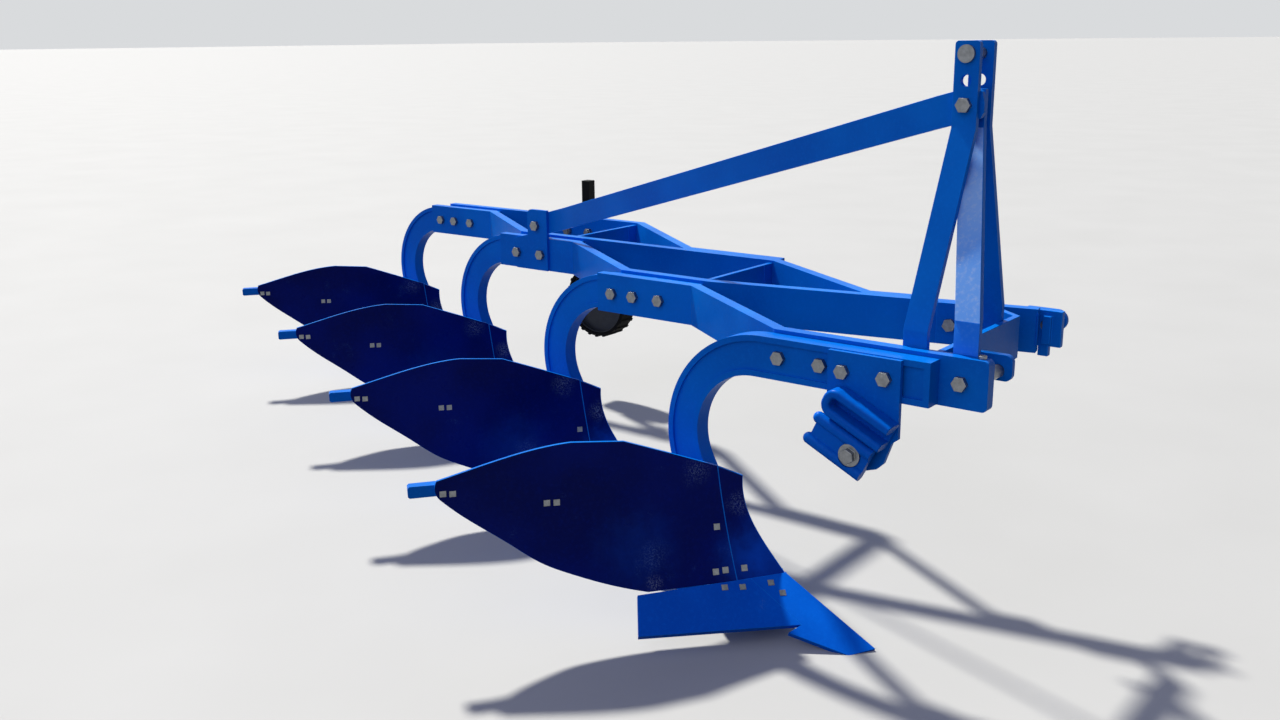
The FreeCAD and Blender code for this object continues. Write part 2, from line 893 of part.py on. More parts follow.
def make_mast():
    right = bent_bar("mast_bar_right",
                     [(s.mast_near_y, s.mast_top), (s.mast_near_y, s.mast_bend_z),
                      (BEAM_FAR, s.right_rebend_z), (BEAM_FAR, s.right_foot_z)],
                     [(s.mast_x, s.mast_top), (s.mast_x, s.mast_bend_z),
                      (s.right_foot_x, s.right_rebend_z), (s.right_foot_x, s.right_foot_z)])
    foot = rod("right_foot_hole", "y", (s.right_foot_x, s.leg_bolt_z), BEAM_FAR - s.overrun,
               s.bar_thick + 2 * s.overrun, BOLT_HOLE)
    tools = gathered("right_bar_holes", mast_holes("right_bar", True) + [foot])
    label(taken("mast_bar_right", right, tools), "mast_bar_right")

    middle = bent_bar("mast_bar_middle",
                      [(s.middle_y, s.middle_top), (s.middle_y, s.mast_bend_z),
                       (BEAM_FAR, s.middle_rebend_z), (BEAM_FAR, s.middle_foot_z)],
                      [(s.mast_x, s.middle_top), (s.mast_x, s.mast_bend_z),
                       (s.middle_foot_x, s.middle_rebend_z), (s.middle_foot_x, s.middle_foot_z)])
    foot = rod("middle_foot_hole", "y", (s.middle_bolt_x, s.leg_bolt_z), BEAM_FAR - s.overrun,
               s.bar_thick + 2 * s.overrun, BOLT_HOLE)
    tools = gathered("middle_bar_holes", mast_holes("middle_bar", False) + [foot])
    label(taken("mast_bar_middle", middle, tools), "mast_bar_middle")

    left = bent_bar("mast_bar_left",
                    [(MAST_FAR, s.mast_top), (MAST_FAR, s.mast_bend_z),
                     (s.left_foot_y, s.left_rebend_z), (s.left_foot_y, s.right_foot_z)],
                    [(s.mast_x, s.mast_top), (s.mast_x, s.mast_bend_z),
                     (s.left_foot_x, s.left_rebend_z), (s.left_foot_x, s.right_foot_z)])
    tools = gathered("left_bar_holes", mast_holes("left_bar", True))
    label(taken("mast_bar_left", left, tools), "mast_bar_left")


def make_spacers():
    rings = []
    gaps = ((s.mast_near_y + s.bar_thick + s.stay_thick, s.middle_y),
            (s.middle_y + s.bar_thick, MAST_FAR))
    for index, (near, far) in enumerate(gaps):
        centre = (s.mast_x, s.mast_bolt_z)
        outer = rod(f"spacer_{index}", "y", centre, near, far - near, s.washer_diameter)
        inner = rod(f"spacer_bore_{index}", "y", centre, near - s.overrun,
                    far - near + 2 * s.overrun, BOLT_HOLE)
        rings.append(taken(f"spacer_ring_{index}", outer, inner))
    label(gathered("mast_spacers", rings), "mast_spacers")


# The stay: a long flat bar from the mast's bolt back to the bracket on the second beam
BRACKET_FAR = body_place(1)[1] + REAR_SHIFT


def make_stay():
    near = s.mast_near_y + s.bar_thick
    front, rear = (s.mast_x, s.mast_bolt_z), (-s.stay_rear_x, s.stay_rear_z)
    line = [(rear[0] - s.stay_end, BRACKET_FAR), (rear[0] + s.stay_tab, BRACKET_FAR),
            (front[0] - s.stay_front_tab, near), (front[0] + s.stay_end, near)]
    depth = s.mast_bolt_z - s.stay_rear_z + 2 * s.stay_width
    plan = prism("stay_plan", "XY", strip(line, s.stay_thick), s.stay_rear_z - s.stay_width, depth)
    across, up = unit(rear, front)
    half, end = s.stay_width / 2, s.stay_end
    nip = half * STAY_NIP_SHARE

    def place(centre, along, aside):
        return centre[0] + across * along - up * aside, centre[1] + up * along + across * aside

    corners = [place(rear, -end + nip, -half), place(front, end - nip, -half),
               place(front, end, nip - half), place(front, end, half - nip),
               place(front, end - nip, half), place(rear, nip - end, half),
               place(rear, -end, half - nip), place(rear, -end, nip - half)]
    side = prism("stay_side", "XZ", corners, near - s.overrun,
                 BRACKET_FAR - near + s.stay_thick + 2 * s.overrun)
    bar = shared("stay_common", plan, side)
    holes = [rod("stay_hole_front", "y", front, near - s.overrun,
                 s.stay_thick + 2 * s.overrun, BOLT_HOLE),
             rod("stay_hole_rear", "y", rear, BRACKET_FAR - s.overrun,
                 s.stay_thick + 2 * s.overrun, BOLT_HOLE)]
    label(taken("stay_bar", bar, gathered("stay_holes", holes)), "stay_bar")


STAY_NIP_SHARE = 0.45


def make_stay_bracket():
    bracket = new_body("stay_bracket", (0, BRACKET_FAR - s.bracket_thick, 0))
    round_x = -s.bracket_step_x
    outline = [(-s.bracket_right, s.bracket_low), (-s.bracket_right, s.bracket_top),
               (round_x, s.bracket_top), (round_x, s.bracket_step_z + s.bracket_corner),
               (-s.bracket_left, s.bracket_step_z), (-s.bracket_left, s.bracket_low)]
    pad(bracket, "XZ_Plane", [outline], s.bracket_thick, back=True)
    round_corners(bracket, "XZ_Plane", [outline[2], outline[4], outline[5]], s.bracket_corner)
    holes = [(across, up, BOLT_HOLE) for across, up in ROWS[2]]
    holes.append((-s.stay_rear_x, s.stay_rear_z, BOLT_HOLE))
    cut(bracket, "XZ_Plane", circles=holes)
    SUB_PARTS.append(bracket)


# The top link's pin with its head, and the ring pin through its tail
LINCH_HOLE = s.linch_wire + 2 * s.linch_play
PIN_END = s.mast_near_y + s.mast_spread + s.link_pin_tail
LINCH_Y = PIN_END - s.linch_setback
LINCH_LOW = s.pin_z - s.link_pin_diameter / 2 - s.linch_play_below


def make_link_pin():
    centre = (s.mast_x, s.pin_z)
    shank = rod("link_pin_shank", "y", centre, s.mast_near_y, PIN_END - s.mast_near_y,
                s.link_pin_diameter)
    head = rod("link_pin_head", "y", centre, s.mast_near_y - s.link_pin_head_thick,
               s.link_pin_head_thick, s.link_pin_head)
    hole = rod("link_pin_hole", "z", (s.mast_x, LINCH_Y), s.pin_z - s.link_pin_diameter,
               2 * s.link_pin_diameter, LINCH_HOLE)
    label(taken("top_link_pin", fused("link_pin_solid", [shank, head]), hole), "top_link_pin")


def make_linch_pin():
    wire = rod("linch_wire", "z", (s.mast_x, LINCH_Y), LINCH_LOW, s.linch_long, s.linch_wire)
    ring = document.addObject("Part::Torus", "linch_ring")
    bind(ring, "Radius1", s.linch_ring / 2)
    bind(ring, "Radius2", s.linch_ring_wire / 2)
    bind(ring, "Placement.Base.x", s.mast_x)
    bind(ring, "Placement.Base.y", LINCH_Y + s.linch_ring / 2)
    bind(ring, "Placement.Base.z", LINCH_LOW + s.linch_long - s.linch_wire)
    label(fused("linch_pin", [wire, ring]), "linch_pin")


# The lower hitch: one pin across the first beam and an inner ear, one in a bracket on the left
def make_hitch_ear():
    front = s.cross_plate_x + s.cross_plate_thick
    ear = new_body("hitch_ear", (0, s.hitch_ear_y, 0))
    outline = [(front, s.hitch_ear_low), (s.hitch_ear_front, s.hitch_ear_low),
               (s.hitch_ear_front, s.hitch_ear_low + s.hitch_ear_tall),
               (front, s.hitch_ear_low + s.hitch_ear_tall)]
    pad(ear, "XZ_Plane", [outline], s.hitch_ear_thick, back=True)
    round_corners(ear, "XZ_Plane", [outline[1], outline[2]], s.hitch_ear_round)
    cut(ear, "XZ_Plane", circles=[(s.hitch_right_x, s.hitch_pin_z, HITCH_HOLE)])
    SUB_PARTS.append(ear)


def make_left_hitch():
    """A fork: its near ear fills the gap to the second beam's flared end and carries a strap."""
    wall, near, pin = s.left_hitch_wall, s.left_hitch_near, s.left_hitch_x
    start = flare_place(s.left_hitch_rear, s.beam_thick)
    corner = flare_place(s.beam_2_front - s.body_step_x, s.beam_thick)
    inner = near + wall
    far = inner + s.left_hitch_gap
    web = s.left_hitch_rear + s.left_hitch_web
    outline = [start, corner, (s.left_hitch_front, corner[1]), (s.left_hitch_front, inner),
               (start[0], inner)]
    ear = prism("left_hitch_near", "XY", outline, s.left_hitch_low, s.left_hitch_tall)
    low = s.hitch_pin_z - s.left_hitch_round
    hook = [(start[0], inner), (web, inner), (web, far), (pin, far), (pin, far + wall),
            (start[0], far + wall)]
    back = prism("left_hitch_back", "XY", hook, low, 2 * s.left_hitch_round)
    tongue = rod("left_hitch_tongue", "y", (pin, s.hitch_pin_z), far, wall,
                 2 * s.left_hitch_round)
    toe = block("left_hitch_toe", (corner[0], corner[1], s.left_toe_low),
                (s.left_toe_front - corner[0], inner - corner[1],
                 s.left_hitch_low - s.left_toe_low))
    strap = block("left_hitch_strap", (s.left_strap_x, corner[1] - s.left_strap_proud,
                                       s.left_strap_low),
                  (s.left_strap_wide, s.left_strap_proud, s.left_strap_tall))
    whole = fused("left_hitch", [ear, back, tongue, toe])
    hole = rod("left_hitch_hole", "y", (pin, s.hitch_pin_z), near - 2 * s.overrun,
               far + wall - near + 4 * s.overrun, HITCH_HOLE)
    bored = taken("left_hitch_bored", whole, hole)
    label(fused("left_hitch_bracket", [bored, strap]), "left_hitch_bracket")


def make_hitch_pins():
    centre = (s.hitch_right_x, s.hitch_pin_z)
    start = BEAM_FAR - s.hitch_seat
    face = s.hitch_ear_y + s.hitch_ear_thick
    right = fused("right_pin_solid", [
        rod("right_pin_shank", "y", centre, start, face - start, s.hitch_pin_diameter),
        rod("right_pin_head", "y", centre, face, s.hitch_head_thick, s.hitch_head)])
    right = taken("right_hitch_pin", right, keeper_bore("keeper_bore_2"))
    centre = (s.left_hitch_x, s.hitch_pin_z)
    near = s.left_hitch_near + s.left_hitch_wall
    face = near + s.left_hitch_gap + s.left_hitch_wall
    start = flare_place(s.beam_2_front - s.body_step_x, s.beam_thick)[1]
    left = fused("left_hitch_pin", [
        rod("left_pin_shank", "y", centre, start, face - start, s.hitch_pin_diameter),
        rod("left_pin_head", "y", centre, face, s.hitch_head_thick, s.hitch_head)])
    label(gathered("lower_hitch_pins", [right, left]), "lower_hitch_pins")


def make_keeper():
    centre = (s.hitch_right_x, BEAM_FAR - s.keeper_setback)
    low = s.hitch_pin_z - s.hitch_pin_diameter / 2 - s.keeper_tail
    peg = rod("keeper_shank", "z", centre, low, s.beam_top - low, s.keeper_diameter)
    head = rod("keeper_head", "z", centre, s.beam_top, s.keeper_head_tall, s.keeper_head)
    label(fused("keeper_peg", [peg, head]), "keeper_peg")


# The share and the point lie in one sloping plane. Its frame: x up the slope, y along the edge
# towards the share's outer end, z out of the soil side.
def share_turn():
    edge, tilt = math.radians(float(s.share_edge_turn)), math.radians(float(s.share_tilt_turn))
    along = Vector(-math.cos(edge), -math.sin(edge), 0)
    out = Vector(math.sin(tilt) * math.sin(edge), -math.sin(tilt) * math.cos(edge), math.cos(tilt))
    return FreeCAD.Rotation(along.cross(out), along, out, "XYZ")


# Shares of the share's length and rise: x up the slope, y along the edge
SHARE_OUTLINE_SHARES = ((0.34, 1), (0.335, 0.295), (0.957, 0.475), (0.844, 0.98))
POINT_OUTLINE_SHARES = ((0.957, 0.475), (1, 0.314), (-0.019, 0.004), (-0.076, 0.125),
                        (0.251, 0.36), (0.335, 0.295))
SHARE_BOLT_SHARES = ((0.863, 0.596), (0.853, 0.517))
POINT_BOLT_SHARES = ((0.882, 0.389), (0.744, 0.347))


def on_share(shares):
    return [(s.share_rise * across, s.share_length * up) for across, up in shares]


# The mouldboard's frame: x along the board towards its tail, y out of the soil side, z up.
def board_turn():
    return FreeCAD.Rotation(Vector(0, 0, 1), 180 + float(s.board_turn))


def board_depth(along, up):
    """How far behind the body's own corner the board's face lies, at a place on it."""
    bow = (up - float(s.board_mid_z)) / float(s.board_span_z)
    twist = float(s.board_twist) * (along - float(s.board_twist_along))
    return (-float(s.board_setback) + float(s.board_hollow) * bow * bow
            + twist * (up - float(s.board_twist_z)))


def board_slope(along, up):
    """How fast the face moves forward with height."""
    bow = 2 * (up - float(s.board_mid_z)) / float(s.board_span_z) ** 2
    return float(s.board_hollow) * bow + float(s.board_twist) * (along - float(s.board_twist_along))


def board_face(inward):
    """The board's face as one ruled sheet between two arcs, moved inward from the soil side."""
    low, high = -float(s.overrun), float(s.board_height) + 4 * float(s.overrun)
    middle = (low + high) / 2
    rails = []
    for along in (-float(s.overrun), float(s.board_length) + 6 * float(s.overrun)):
        ends = [Vector(along, board_depth(along, up) - inward, up) for up in (low, high)]
        reach = (high - low) / 2
        pole = Vector(along, ends[0].y + board_slope(along, low) * reach, middle)
        curve = Part.BezierCurve()
        curve.setPoles([ends[0], pole, ends[1]])
        rails.append(curve.toShape())
    return Part.makeRuledSurface(rails[0], rails[1])


def board_slab(outer, inner):
    """A solid between two depths behind the soil side."""
    back = board_face(inner)
    return back.extrude(Vector(0, inner - outer, 0))


def outline_prism(edges):
    """A closed outline in the board's side view, carried through the board."""
    wire = Part.Wire(edges)
    depth = float(s.board_setback) + float(s.board_hollow)
    sheet_face = Part.Face(wire)
    sheet_face.translate(Vector(0, -2 * depth, 0))
    return sheet_face.extrude(Vector(0, 2 * depth, 0))


def spline(points):
    curve = Part.BSplineCurve()
    curve.interpolate([Vector(across, 0, up) for across, up in points])
    return curve.toShape()


def straight(start, end):
    return Part.LineSegment(Vector(start[0], 0, start[1]), Vector(end[0], 0, end[1])).toShape()


# Shares of the board's length and height, chosen along each edge of its side view
BOARD_LOW_SHARES = ((0.496, 0.233), (0.596, 0.283), (0.687, 0.347), (0.749, 0.402),
                    (0.832, 0.517), (0.936, 0.67), (0.988, 0.765))
BOARD_TAIL_SHARES = ((0.988, 0.765), (1, 0.817), (0.995, 0.866))
BOARD_TOP_SHARES = ((0.995, 0.866), (0.892, 0.922), (0.796, 0.969), (0.673, 1))
BOARD_CREST_SHARES = (0.542, 0.977)
SEAM_SHARES = ((0.301, 0.801), (0.27, 0.248))
SHIN_LAND_SHARES = ((0.143, 0.263), (0.18, 0.382), (0.215, 0.517), (0.233, 0.739))
BOARD_BOLT_SHARES = ((0.981, 0.797), (0.958, 0.793), (0.733, 0.698), (0.709, 0.696),
                     (0.308, 0.501), (0.321, 0.296), (0.296, 0.3))
SHIN_BOLT_SHARES = ((0.247, 0.302),)


def on_board(shares):
    return [(float(s.board_length) * across, float(s.board_height) * up) for across, up in shares]


def mouldboard_solid():
    low, tail, top = [on_board(shares) for shares in
                      (BOARD_LOW_SHARES, BOARD_TAIL_SHARES, BOARD_TOP_SHARES)]
    crest = on_board([BOARD_CREST_SHARES])[0]
    seam_top, seam_low = on_board(SEAM_SHARES)
    edges = [straight(seam_low, low[0]), spline(low), spline(tail), spline(top),
             straight(top[-1], crest), straight(crest, seam_top), straight(seam_top, seam_low)]
    slab = board_slab(0, float(s.board_thick))
    return slab.common(outline_prism(edges))


def shin_column():
    """The shin's outline, carried through the board."""
    seam_top, seam_low = on_board(SEAM_SHARES)
    land = on_board(SHIN_LAND_SHARES)
    gap = float(s.board_gap)
    top, low = (seam_top[0] - gap, seam_top[1]), (seam_low[0] - gap, seam_low[1])
    edges = [straight(low, top), straight(top, land[-1]), spline(land[::-1]), straight(land[0], low)]
    return outline_prism(edges)


def shin_solid():
    return board_slab(0, float(s.board_thick)).common(shin_column())


def shin_room():
    """The shin's own room and all in front of it, which the frog keeps out of."""
    return shin_column().common(board_space(float(s.board_thick) + float(s.frog_clear)))


def frog_face_solid():
    """The frog's pad behind the shin and the front of the mouldboard, with the rib below it."""
    corners = on_board(FROG_FACE_SHARES)
    edges = [straight(start, end) for start, end in zip(corners, corners[1:] + corners[:1])]
    outer = float(s.board_thick) + float(s.frog_clear)
    slab = board_slab(outer, outer + float(s.frog_pad))
    face = slab.common(outline_prism(edges))
    low, high = on_board(FROG_RIB_SHARES)
    depth = board_depth(high[0], high[1]) - outer
    rib = Part.makeBox(high[0] - low[0], float(s.frog_rib), high[1] - low[1],
                       Vector(low[0], depth - float(s.frog_rib), low[1]))
    return face.fuse(rib.cut(board_space(outer))).removeSplitter()


# Shares of the board's length and height
FROG_FACE_SHARES = ((0.16, 0.24), (0.228, 0.51), (0.236, 0.6), (0.335, 0.6), (0.335, 0.24))
FROG_RIB_SHARES = ((0.173, 0.197), (0.335, 0.272))


# Square-necked plough bolts: the head's top stands a little proud of the worn face
def bolt_frames(shares, slope):
    """Where each plough bolt stands on a board: its place and the turn of its own axis."""
    frames = []
    for across, up in on_board(shares):
        lean = math.degrees(math.atan(slope(across, up)))
        turn = FreeCAD.Rotation(Vector(1, 0, 0), -90 - lean)
        frames.append(FreeCAD.Placement(Vector(across, board_depth(across, up), up), turn))
    return frames


def share_bolt_frames(shares):
    frames = []
    for across, up in on_share(shares):
        frames.append(FreeCAD.Placement(Vector(float(across), float(up), 0), FreeCAD.Rotation()))
    return frames


def bolt_solids(seat):
    """One plough bolt and its nut at a depth; z is out of the soil side and zero lies on it."""
    side, proud = float(s.plough_bolt_head), float(s.plough_bolt_proud)
    deep = float(s.plough_bolt_deep)
    radius = float(s.plough_bolt_shank) / 2
    head = Part.makeBox(side, side, proud + deep, Vector(-side / 2, -side / 2, -deep))
    grip = seat + float(s.plough_nut_thick) + float(s.plough_bolt_tail)
    shank = Part.makeCylinder(radius, grip, Vector(0, 0, -grip))
    bolt = head.fuse(shank).removeSplitter()
    flats = float(s.plough_nut)
    corner = flats / math.sqrt(3)
    ring = [Vector(corner * math.cos(math.radians(60 * step)),
                   corner * math.sin(math.radians(60 * step)), 0) for step in range(6)]
    nut = Part.Face(Part.makePolygon(ring + ring[:1]))
    low = -(seat + float(s.plough_nut_thick))
    nut.translate(Vector(0, 0, low))
    nut = nut.extrude(Vector(0, 0, float(s.plough_nut_thick)))
    bore = Part.makeCylinder(radius + float(s.thread_play), -2 * low, Vector(0, 0, 2 * low))
    return [bolt, nut.cut(bore)]


def bolt_tool(thick):
    """The square socket and the round hole for one plough bolt."""
    play = float(s.plough_bolt_play)
    side = float(s.plough_bolt_head) + 2 * play
    deep = float(s.plough_bolt_deep)
    over = float(s.overrun)
    head = Part.makeBox(side, side, over + deep, Vector(-side / 2, -side / 2, -deep))
    hole = Part.makeCylinder(float(s.plough_bolt_shank) / 2 + play, 2 * over + thick,
                             Vector(0, 0, -thick - over))
    return head.fuse(hole)


def placed(shape, frame):
    copy = shape.copy()
    copy.Placement = frame.multiply(copy.Placement)
    return copy


def solid_feature(name, shape):
    feature = document.addObject("Part::Feature", name)
    feature.Shape = shape
    return feature


def drilled(shape, frames, thick):
    for frame in frames:
        shape = shape.cut(placed(bolt_tool(thick), frame))
    return shape


BOARD_FRAMES = bolt_frames(BOARD_BOLT_SHARES, board_slope)
SHIN_FRAMES = bolt_frames(SHIN_BOLT_SHARES, board_slope)
SHARE_FRAMES = share_bolt_frames(SHARE_BOLT_SHARES)
POINT_FRAMES = share_bolt_frames(POINT_BOLT_SHARES)


def place_turned(piece, name, number, turn, start=None):
    """Places a solid made in a turned frame at one of the four bodies."""
    piece.Label = name
    east, north = body_place(number)
    start = start or (0, 0, 0)
    put(piece, (east + start[0], north + start[1], as_size(0) + start[2]), turn)
    SUB_PARTS.append(piece)


def share_start():
    return (-s.point_tip_x, s.leg_thick / 2 + s.point_tip_x, s.point_tip_z)


def make_edge_plate(name, number, outline, frames, thick):
    """The share or the point: a flat plate, bevelled by the ground plane where it meets it."""
    plate = document.addObject("PartDesign::Body", name + "_plate")
    pad(plate, "XY_Plane", [outline], thick, back=True)
    sockets = [(float(across), float(up)) for across, up in
               [(frame.Base.x, frame.Base.y) for frame in frames]]
    side = s.plough_bolt_head / 2 + s.plough_bolt_play
    squares = []
    for across, up in sockets:
        squares.append([(across - side, up - side), (across + side, up - side),
                        (across + side, up + side), (across - side, up + side)])
    cut(plate, "XY_Plane", squares, deep=s.plough_bolt_deep)
    width = s.plough_bolt_shank + 2 * s.plough_bolt_play
    cut(plate, "XY_Plane", circles=[(across, up, width) for across, up in sockets])
    return plate


def make_shares():
    turn = share_turn()
    start = share_start()
    kinds = (("share", SHARE_OUTLINE_SHARES, SHARE_FRAMES, s.share_thick),
             ("point", POINT_OUTLINE_SHARES, POINT_FRAMES, s.point_thick))
    for number in range(4):
        for kind, shares, frames, thick in kinds:
            name = f"{kind}_{number + 1}"
            plate = make_edge_plate(name, number, on_share(shares), frames, thick)
            east, north = body_place(number)
            plate.Placement = FreeCAD.Placement(Vector(), turn)
            for letter, amount in zip("xyz", (east + start[0], north + start[1], start[2])):
                bind(plate, f"Placement.Base.{letter}", amount)
            ground = block(name + "_ground", (east - s.share_length, north - s.share_length,
                                              -s.share_length),
                           (2 * s.share_length, 2 * s.share_length, s.share_length))
            label(taken(name, plate, ground), name)


def make_boards():
    thick = float(s.board_thick)
    board = drilled(mouldboard_solid(), BOARD_FRAMES, thick)
    shin = drilled(shin_solid(), SHIN_FRAMES, thick)
    for number in range(4):
        for kind, shape in (("mouldboard", board), ("shin", shin)):
            name = f"{kind}_{number + 1}"
            place_turned(solid_feature(name, shape), name, number, board_turn())


def in_body(shapes, turn, start, number):
    east, north = body_place(number)
    base = Vector(float(east + start[0]), float(north + start[1]), float(start[2]))
    return [placed(shape, FreeCAD.Placement(base, turn)) for shape in shapes]


# How far behind the soil side each bolt's nut sits: on the tail piece, the brace or the frog
NUT_CLEAR = s.frog_clear + s.plough_bolt_play
PAD_SEAT = s.board_thick + s.frog_pad + NUT_CLEAR
BRACE_SEAT = s.board_thick + s.brace_thick
TAIL_SEAT = s.board_thick + s.tail_thick + s.plough_bolt_play
SHARE_SEAT = s.share_thick + s.share_pad + NUT_CLEAR


def make_plough_bolts():
    zero = (as_size(0), as_size(0), as_size(0))
    groups = ((BOARD_FRAMES[:2], TAIL_SEAT), (BOARD_FRAMES[2:4], BRACE_SEAT),
              (BOARD_FRAMES[4:] + SHIN_FRAMES, PAD_SEAT))
    solids = []
    for number in range(4):
        for frames, seat in groups:
            shapes = [placed(solid, frame) for frame in frames for solid in bolt_solids(float(seat))]
            solids += in_body(shapes, board_turn(), zero, number)
        pair = bolt_solids(float(SHARE_SEAT))
        shapes = [placed(solid, frame) for frame in SHARE_FRAMES + POINT_FRAMES for solid in pair]
        solids += in_body(shapes, share_turn(), share_start(), number)
    label(solid_feature("plough_bolts", Part.makeCompound(solids)), "plough_bolts")


def nut_tool(seat):
    """A bolt's hole as far as its nut's seat, and room for the nut behind that."""
    room, hole = float(s.nut_room) / 2, float(s.plough_bolt_shank) / 2 + float(s.plough_bolt_play)
    long, back = float(s.nut_room_deep), float(seat) - float(s.plough_bolt_play)
    tool = Part.makeCylinder(room, long, Vector(0, 0, -back - long))
    return tool.fuse(Part.makeCylinder(hole, back + long, Vector(0, 0, -back - long / 2)))


def nut_spaces():
    """The holes and the room for the nuts of all the bolts that pass into a frog."""
    zero = (as_size(0), as_size(0), as_size(0))
    spaces = []
    for frames, seat, turn, start in (
            (BOARD_FRAMES[4:] + SHIN_FRAMES, PAD_SEAT, board_turn(), zero),
            (SHARE_FRAMES + POINT_FRAMES, SHARE_SEAT, share_turn(), share_start())):
        spaces += in_body([placed(nut_tool(seat), frame) for frame in frames], turn, start, 0)
    whole = spaces[0]
    for space in spaces[1:]:
        whole = whole.fuse(space)
    return whole


# The frog carries the boards: a block under the leg's foot, a cheek beside it and a face pad
def set_in_share_frame(piece, number, across, along, out):
    """Places a box in the share's frame by its lowest corner in that frame."""
    turn = share_turn()
    piece.Placement = FreeCAD.Placement(Vector(), turn)
    east, north = body_place(number)
    axes = [turn.multVec(axis) for axis in (Vector(1, 0, 0), Vector(0, 1, 0), Vector(0, 0, 1))]
    start = share_start()
    for letter, amount in zip("xyz", (east + start[0], north + start[1], start[2])):
        pulls = [getattr(axis, letter) for axis in axes]
        bind(piece, f"Placement.Base.{letter}",
             amount + across * pulls[0] + along * pulls[1] + out * pulls[2])


def make_frog(number, pad_shape, spaces, room):
    name = f"frog_{number + 1}"
    east, north = body_place(number)
    inner = s.landside_out - s.landside_thick
    shelf = s.landside_low + s.landside_tall + s.frog_clear
    rear, front = -s.frog_rear, -s.frog_front
    low = block(name + "_low", (east + rear, north - FACE, s.frog_low),
                (front - rear, FACE + inner - s.frog_clear, s.leg_foot_z - s.frog_low))
    tier = block(name + "_tier", (east + rear, north - FACE, shelf),
                 (s.frog_tier, 2 * FACE + s.frog_web, s.leg_foot_z - shelf))
    centre_low, centre_top = foot_centre(s.leg_foot_z), foot_centre(s.frog_tall)
    half = s.frog_cheek_half
    cheek = prism(name + "_cheek", "XZ",
                  [(east + centre_low - half, shelf), (east + centre_low + half, shelf),
                   (east + centre_top + half, s.frog_tall), (east + centre_top - half, s.frog_tall)],
                  north + FACE, s.frog_web)
    face = solid_feature(name + "_pad", pad_shape)
    face.Placement = FreeCAD.Placement(Vector(), board_turn())
    bind(face, "Placement.Base.x", east)
    bind(face, "Placement.Base.y", north)
    seat = block(name + "_seat", (0, 0, 0), (s.share_pad_up, s.share_pad_long, s.share_pad))
    skin = s.share_thick + s.frog_clear
    set_in_share_frame(seat, number, s.share_pad_low, s.share_pad_start, -(skin + s.share_pad))
    whole = fused(name + "_solid", [low, tier, cheek, face, seat])

    reach = s.share_length
    space = block(name + "_share_space", (0, 0, 0),
                  (reach + s.share_rise + s.share_pad / 2, 2 * reach, s.frog_space))
    set_in_share_frame(space, number, -reach, -reach, -skin)
    outline = leg_outline(s.leg_reach, as_size(0), s.leg_foot_z)[0]
    foot = prism(name + "_leg_space", "XZ", [(east + across, up) for across, up in outline],
                 north - FACE - s.frog_clear, 2 * FACE + s.frog_clear)
    side = block(name + "_landside_space", (east - s.landside_rear, north + inner - s.frog_clear, 0),
                 (s.landside_rear - s.landside_front + s.landside_tall, s.landside_thick * 3,
                  shelf))
    nuts = solid_feature(name + "_nut_space", spaces)
    nuts.Placement = FreeCAD.Placement()
    bind(nuts, "Placement.Base.x", east)
    bind(nuts, "Placement.Base.y", north)
    front_room = solid_feature(name + "_shin_room", room)
    front_room.Placement = FreeCAD.Placement(Vector(), board_turn())
    bind(front_room, "Placement.Base.x", east)
    bind(front_room, "Placement.Base.y", north)
    holes = holes_along_y(name, [(east + across, up) for across, up in FROG_BOLTS], FROG_HOLE)
    label(less(name, whole, [space, foot, side, nuts, front_room, holes]), name)


def make_landside(number):
    name = f"landside_{number + 1}"
    east, north = body_place(number)
    lean = s.landside_tall * LANDSIDE_NOSE_SHARE
    outline = [(east - s.landside_rear, s.landside_low),
               (east - s.landside_front + lean, s.landside_low),
               (east - s.landside_front, s.landside_low + s.landside_tall),
               (east - s.landside_rear + lean, s.landside_low + s.landside_tall)]
    bar = prism(name, "XZ", outline, north + s.landside_out - s.landside_thick, s.landside_thick)
    label(bar, name)


LANDSIDE_NOSE_SHARE = 0.3


# Behind each board: the tail piece that lengthens it, and a brace from the leg to its back
def board_space(inner):
    """All the space on the soil side of a depth behind the board's face."""
    return board_face(inner).extrude(Vector(0, 4 * float(s.board_setback), 0))


def tail_shapes():
    """A bar behind the board's tail, with the corners of its outer end taken off."""
    half, corner = float(s.tail_tall) / 2, float(s.tail_corner)
    end, root_end = float(s.tail_end), float(s.tail_end) - float(s.tail_long)
    up = float(s.board_height) * TAIL_HEIGHT_SHARE
    depth = board_depth(float(s.board_length), up) - float(s.board_thick) - float(s.frog_clear)
    thick = float(s.tail_thick)
    places = [(root_end, -half), (end - corner, -half), (end, corner - half),
              (end, half - corner), (end - corner, half), (root_end, half)]
    ring = [Vector(along, depth - 2 * thick, up + rise) for along, rise in places]
    bar = Part.Face(Part.makePolygon(ring + ring[:1])).extrude(Vector(0, 2 * thick, 0))
    bar = bar.cut(board_space(float(s.board_thick) + float(s.frog_clear) / 2))
    keep = board_face(float(s.board_thick) + thick).extrude(
        Vector(0, 4 * float(s.board_setback), 0))
    return bar.common(keep).removeSplitter()


TAIL_HEIGHT_SHARE = 0.811


